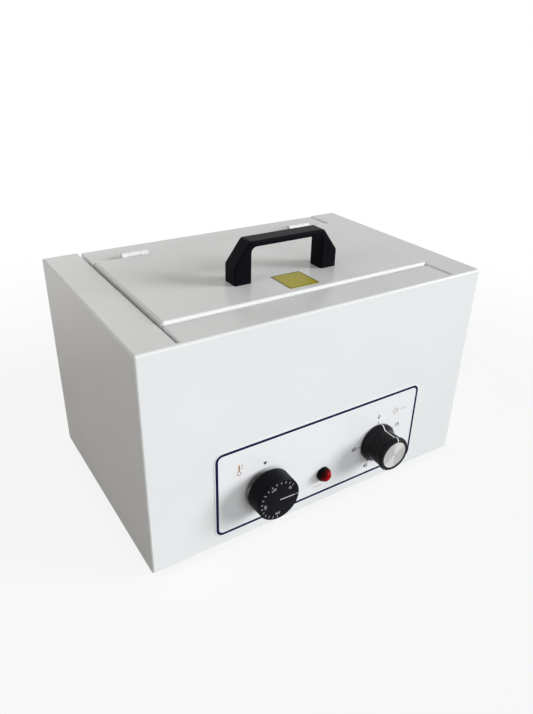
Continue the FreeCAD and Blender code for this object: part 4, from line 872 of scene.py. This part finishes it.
class STERILIZER_OT_timer_knob(bpy.types.Operator):
    """Build the timer's fluted knob and its line, and finish its spun face"""

    bl_idname = "sterilizer.timer_knob"
    bl_label = "Timer knob"

    def execute(self, context):
        shape = settings("moulding")
        place = at(FRONT_FACE, (timer_centre.x, panel_high.y, timer_centre.z))
        black = moulding("glossy_black", shape.colour, 0.2, 0.8 * MM, 0.004 * MM, gloss=0.05, coat=0.2)
        level = self.levels()
        grip = lathe(self.profile(level), 12 * shape.flutes, self.flutes(level, shape))
        knob = add_piece("timer_knob_fluted", grip, "timer_dial", black, place)
        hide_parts("timer_knob")
        add_piece("timer_knob_line", self.line(level, shape), "timer_dial",
                  ink("knob_white", settings("print").knob_line_colour), place)
        centre = middle("timer_knob_inlay")
        # The colour given is that of the painted highlight; the rest of the face is darker
        finish_cad({"timer_knob_inlay": spun("spun_aluminium", (0.96, 0.96, 0.95), centre)})
        return {"FINISHED"}

    def levels(self):
        """Heights of the knob's steps over the cabinet's front, from the rear to the face."""
        low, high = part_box("timer_knob")
        front = panel_high.y
        return {"rear": front - high.y, "skirt": 4.6 * MM, "waist": 8.5 * MM, "grip_end": 21.5 * MM,
                "rim": 22.5 * MM, "rim_end": 25 * MM, "face": front - low.y}

    def outside(self, level):
        """The knob's outer profile, from the skirt's rear edge to the rim of the face."""
        skirt, grip, rim, bevel, edge = 19.6 * MM, 16.2 * MM, 17.3 * MM, 1.4 * MM, 0.35 * MM
        skirt_end, waist = level["skirt"], level["waist"]
        grip_end, rim_end = level["grip_end"], level["rim_end"]
        skirting = [(skirt - edge, level["rear"]), (skirt, level["rear"] + edge), (skirt, skirt_end - edge),
                    (skirt - 0.15 * MM, skirt_end + 0.1 * MM), (skirt - 0.5 * MM, skirt_end + 0.55 * MM)]
        cone = [(grip + 0.3 * MM, waist - 0.35 * MM), (grip, waist + 0.2 * MM)]
        shares = (0.08, 0.16, 0.5, 0.84, 0.92, 1.0)
        fluted = [(grip, waist + (grip_end - waist) * share) for share in shares]
        front = [(rim - edge, level["rim"] - 0.15 * MM), (rim, level["rim"] + edge), (rim, rim_end - edge),
                 (rim - edge * 0.6, rim_end + edge * 0.4), (rim - bevel, level["face"])]
        return skirting + cone + fluted + front

    def profile(self, level):
        """The whole knob: hollow behind round its hub, with a seat for the inlay in its face."""
        seat, seat_depth, bore, wall, hub = 13.55 * MM, 1.15 * MM, 12.6 * MM, 3.5 * MM, 5.6 * MM
        face, rear, hub_rear = level["face"], level["rear"], level["rear"] + 5 * MM
        behind = [(0, hub_rear), (hub, hub_rear), (hub, face - wall), (bore, face - wall), (bore, rear)]
        inner = [(seat, face), (seat, face - seat_depth), (0, face - seat_depth)]
        return behind + self.outside(level) + inner

    def flutes(self, level, shape):
        """Shallow round flutes along the grip, run out at both ends, as a change of the radius."""
        run_out, count, depth = 1.6 * MM, shape.flutes, shape.flute_depth

        def swell(turn, height):
            inside = min(height - level["waist"], level["grip_end"] - height) / run_out
            groove = max(0.0, math.cos(count * turn)) ** 1.5
            return -depth * groove * min(1.0, max(0.0, inside))

        return swell

    def line(self, level, shape):
        """A painted line up the skirt, along the grip between two flutes, over the rim and to the inlay."""
        proud, half_width, inner_end = 0.06 * MM, 0.5 * MM, 13.9 * MM
        bm = bmesh.new()
        run = self.outside(level)[1:] + [(inner_end, level["face"])]
        turn = math.tau / 4 - shape.line_turn
        turn = (round(turn * shape.flutes / math.tau - 0.5) + 0.5) * math.tau / shape.flutes
        rows = []
        for radius, height in run:
            reach = radius + proud
            half = half_width / reach
            lift = proud if height == level["face"] else 0
            rows.append([bm.verts.new((reach * math.cos(turn + side), reach * math.sin(turn + side),
                                       height + lift)) for side in (-half, half)])
        for low, high in zip(rows, rows[1:]):
            bm.faces.new((low[0], low[1], high[1], high[0]))
        bm.normal_update()
        bmesh.ops.solidify(bm, geom=bm.faces, thickness=proud)
        return bm


class STERILIZER_OT_pilot_lamp(bpy.types.Operator):
    """Build the pilot lamp's red dome and the black ring round it"""

    bl_idname = "sterilizer.pilot_lamp"
    bl_label = "Pilot lamp"

    def execute(self, context):
        place = on_panel(lamp_centre)
        lens = add_piece("lamp_dome", lathe(self.dome(), 48), "cabinet", lens_red(), place)
        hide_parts("lamp_lens")
        add_piece("lamp_bezel", lathe(self.bezel(), 48), "cabinet",
                  bpy.data.materials["bezel_black"], place)
        return {"FINISHED"}

    def dome(self):
        """A short column with a round edge and a slightly raised top."""
        reach, round_edge, seat, crown = 8.6 * MM, 4.6 * MM, 1.2 * MM, 0.12 * MM
        top = lens_radius - round_edge
        return ([(0, seat), (lens_radius, seat), *arc(top, reach - round_edge, round_edge, 0, 90, 9)]
                + [(top * share, reach + crown * (1 - share ** 2)) for share in (0.6, 0.3, 0)])

    def bezel(self):
        """A closed section that touches the dome."""
        outer, height, edge, chamfer = 6.9 * MM, 4.2 * MM, 0.6 * MM, 0.1 * MM
        return [(lens_radius, 0), (outer, 0), *arc(outer - edge, height - edge, edge, 0, 90, 4),
                (lens_radius + chamfer, height), (lens_radius, height - chamfer), (lens_radius, 0)]


class STERILIZER_OT_lid_sticker(bpy.types.Operator):
    """Finish the lid's yellow sticker and print its thin border"""

    bl_idname = "sterilizer.lid_sticker"
    bl_label = "Lid sticker"

    def execute(self, context):
        marks = settings("print")
        finish_cad({"lid_sticker": yellow_film()})
        low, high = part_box("lid_sticker")
        inset, line, corner = 0.3 * MM, 0.7 * MM, 0.8 * MM
        loops = [rounded(low.x + gap, low.y + gap, high.x - gap, high.y - gap, corner, 4)
                 for gap in (inset, inset + line)]
        bm = bmesh.new()
        print_on(bm, outlines(loops), Matrix.Translation((0, 0, high.z)), marks.ink)
        add_piece("sticker_border", bm, "lid", ink("black_ink", marks.border_colour))
        return {"FINISHED"}


class STERILIZER_OT_screws(bpy.types.Operator):
    """Build the cross-head screws of the rear cover and the inlet"""

    bl_idname = "sterilizer.screws"
    bl_label = "Cross-head screws"

    def execute(self, context):
        zinc = plated("screw_zinc", (0.56, 0.57, 0.58), 0.22)
        self.set_of("rear_cover_screws", "rear_cross_screws", zinc, 3.8 * MM, 2, 3)
        self.set_of("inlet_screws", "inlet_cross_screws", zinc, 2.8 * MM, 2, 1)
        return {"FINISHED"}

    def set_of(self, node, name, material, radius, columns, rows):
        """Screws in a grid that fills the node's box, each turned its own way."""
        low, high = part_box(node)
        height, turn_by_column, turn_by_row = 2.2 * MM, 1.3, 2.1
        bm = bmesh.new()
        head = self.head(radius, height, high.y - low.y)
        for column in range(columns):
            for row in range(rows):
                x = low.x + radius + (high.x - low.x - 2 * radius) * column / (columns - 1)
                z = (low.z + radius + (high.z - low.z - 2 * radius) * row / (rows - 1)
                     if rows > 1 else (low.z + high.z) / 2)
                turn = Matrix.Rotation(turn_by_column * column + turn_by_row * row, 4, "Z")
                screw = head.copy()
                screw.transform(at(BACK_FACE, (x, high.y - height, z)) @ turn)
                bm.from_mesh(screw)
                bpy.data.meshes.remove(screw)
        piece = add_piece(name, bm, "cabinet", material)
        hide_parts(node)

    def head(self, radius, height, length):
        """A pan head with a cross recess, and its shank."""
        edge_share, shank_share = 0.35, 0.52
        dome = [(radius * x, height * (edge_share + (1 - edge_share) * y))
                for x, y in arc(0, 0, 1, 0, 75, 5)]
        shank = radius * shank_share
        bm = lathe([(0, height - length), (shank, height - length), (shank, 0), (radius, 0)] + dome
                   + [(0, height)], 40)
        return carve(bm, self.cross(radius, height))

    def cross(self, radius, height):
        """Two crossed bars that narrow towards their lower ends, half in the head."""
        wide, narrow, lift, taper = radius * 0.55, radius * 0.13, height * 1.45, 0.6
        recess = bmesh.new()
        for reach, half in ((wide, narrow), (narrow, wide)):
            made = bmesh.ops.create_cube(recess, size=2)
            bmesh.ops.scale(recess, vec=(reach, half, height), verts=made["verts"])
            for vert in made["verts"]:
                vert.co.z += lift
                if vert.co.z < height:
                    vert.co.x *= taper if reach > half else 1
                    vert.co.y *= taper if half > reach else 1
        return recess


def carve(bm, tool):
    """Cut one closed bmesh out of another, and give the result as a mesh."""
    objects = []
    for name, shape in (("solid", bm), ("tool", tool)):
        bmesh.ops.recalc_face_normals(shape, faces=shape.faces)
        objects.append(show(name, mesh_of(name, shape)))
    solid, cutter = objects
    cut = solid.modifiers.new("cut", "BOOLEAN")
    cut.operation = "DIFFERENCE"
    cut.solver = "EXACT"
    cut.use_self = True
    cut.object = cutter
    mesh = as_built(solid)
    for item in objects:
        data = item.data
        bpy.data.objects.remove(item)
        bpy.data.meshes.remove(data)
    return mesh


class STERILIZER_OT_stage(bpy.types.Operator):
    """Set up the pale floor, the soft light and the camera"""

    bl_idname = "sterilizer.stage"
    bl_label = "Stage"

    def execute(self, context):
        stage = settings("stage")
        self.floor(stage)
        self.room(stage)
        self.key_light(stage)
        for name, place, size, colour in SOFT_LIGHTS:
            self.soft_light(name, place, size, getattr(stage, name + "_power"), colour)
        self.camera(stage)
        context.scene.view_settings.view_transform = "Standard"
        return {"FINISHED"}

    def floor(self, stage):
        """Near the cabinet the real floor shows, more of it in mirrors, and plain white further out."""
        reach, real_to, white_from, camera_white, mirror_white = 12.0, 0.3, 0.8, 0.85, 0.2
        bm = bmesh.new()
        bmesh.ops.create_grid(bm, x_segments=1, y_segments=1, size=reach)
        floor = show("floor", mesh_of("floor", bm))
        paint = Paint("pale_floor")
        colour = paint.mix(paint.noise(30, 3), stage.floor_colour, shaded(stage.floor_colour, 0.97))
        plain = paint.add("ShaderNodeBsdfDiffuse", None, {"Color": colour})
        dull = paint.add("ShaderNodeBsdfDiffuse", None, {"Color": rgba(stage.bounce_colour)})
        white = paint.add("ShaderNodeEmission", None, {"Color": WHITE, "Strength": 1.0})
        distance = paint.vector_sum("LENGTH", paint.place(), output="Value")
        by_camera = paint.add("ShaderNodeLightPath", output="Is Camera Ray")
        near = by_camera * (camera_white - mirror_white) + mirror_white
        share = paint.add("ShaderNodeMapRange", {"interpolation_type": "SMOOTHSTEP"},
                          {"Value": distance, "From Min": real_to, "From Max": white_from,
                           "To Min": near, "To Max": 1.0})
        shown = paint.either(share, plain, white)
        paint.end(paint.either(paint.seen(), dull, shown))
        floor.data.materials.append(paint.data)

    def room(self, stage):
        """Even light from all sides. The camera and mirrors see plain white."""
        world = bpy.data.worlds.new("room")
        bpy.context.scene.world = world
        paint = Paint("room", world)
        light = paint.add("ShaderNodeBackground", None,
                          {"Color": (1.0, 0.965, 0.905, 1), "Strength": stage.room_power})
        white = paint.add("ShaderNodeBackground", None, {"Color": WHITE, "Strength": 1.0})
        paint.end(paint.either(paint.seen(), light, white), "ShaderNodeOutputWorld")

    def key_light(self, stage):
        sun = bpy.data.lights.new("key", "SUN")
        sun.energy = stage.key_power
        sun.angle = math.radians(26)
        sun.color = (0.955, 0.985, 1.0)
        lamp = show("key", sun)
        turn, height = stage.key_turn, stage.key_height
        level = math.cos(height)
        source = Vector((math.sin(turn) * level, -math.cos(turn) * level, math.sin(height)))
        lamp.rotation_mode = "QUATERNION"
        lamp.rotation_quaternion = source.to_track_quat("Z", "Y")

    def soft_light(self, name, place, size, power, colour):
        """A square lamp that faces the cabinet. Nothing mirrors it."""
        lamp = bpy.data.lights.new(name, "AREA")
        lamp.size = size
        lamp.energy = power
        lamp.color = colour
        item = show(name, lamp)
        item.location = place
        item.visible_glossy = False
        item.rotation_mode = "QUATERNION"
        item.rotation_quaternion = (item.location - middle("outer_casing")).to_track_quat("Z", "Y")

    def camera(self, stage):
        data = bpy.data.cameras.new("camera")
        data.lens = stage.lens
        data.sensor_width = 36.0
        data.clip_start, data.clip_end = 0.01, 50.0
        camera = show("camera", data)
        turn = Matrix.Rotation(-stage.camera_turn, 4, "Z")
        dip = Matrix.Rotation(math.tau / 4 - stage.camera_dip, 4, "X")
        roll = Matrix.Rotation(stage.camera_roll, 4, "Z")
        camera.matrix_world = Matrix.Translation(stage.camera_place) @ turn @ dip @ roll
        bpy.context.scene.camera = camera


OPERATORS = (
    STERILIZER_OT_sheet_metal,
    STERILIZER_OT_fittings,
    STERILIZER_OT_mouldings,
    STERILIZER_OT_panel_print,
    STERILIZER_OT_thermostat_dial,
    STERILIZER_OT_timer_knob,
    STERILIZER_OT_pilot_lamp,
    STERILIZER_OT_lid_sticker,
    STERILIZER_OT_screws,
    STERILIZER_OT_stage,
)


class STERILIZER_PT_panel(bpy.types.Panel):
    """Settings and steps of the sterilizer"""

    bl_idname = "STERILIZER_PT_panel"
    bl_label = "Dry heat sterilizer"
    bl_space_type = "VIEW_3D"
    bl_region_type = "UI"
    bl_category = "Sterilizer"

    def draw(self, context):
        for name, group in GROUPS.items():
            box = self.layout.box()
            box.label(text=name.capitalize())
            for field in group.__annotations__:
                box.prop(settings(name), field)
        for operator in OPERATORS:
            self.layout.operator(operator.bl_idname)


def register():
    for item in (*GROUPS.values(), *OPERATORS, STERILIZER_PT_panel):
        bpy.utils.register_class(item)
    for name, group in GROUPS.items():
        setattr(bpy.types.Scene, "sterilizer_" + name, PointerProperty(type=group))


def unregister():
    for name in GROUPS:
        delattr(bpy.types.Scene, "sterilizer_" + name)
    for item in (STERILIZER_PT_panel, *reversed(OPERATORS), *reversed(GROUPS.values())):
        bpy.utils.unregister_class(item)


def main():
    register()
    for operator in OPERATORS:
        getattr(bpy.ops.sterilizer, operator.bl_idname.split(".")[1])()


if __name__ == "__main__":
    main()
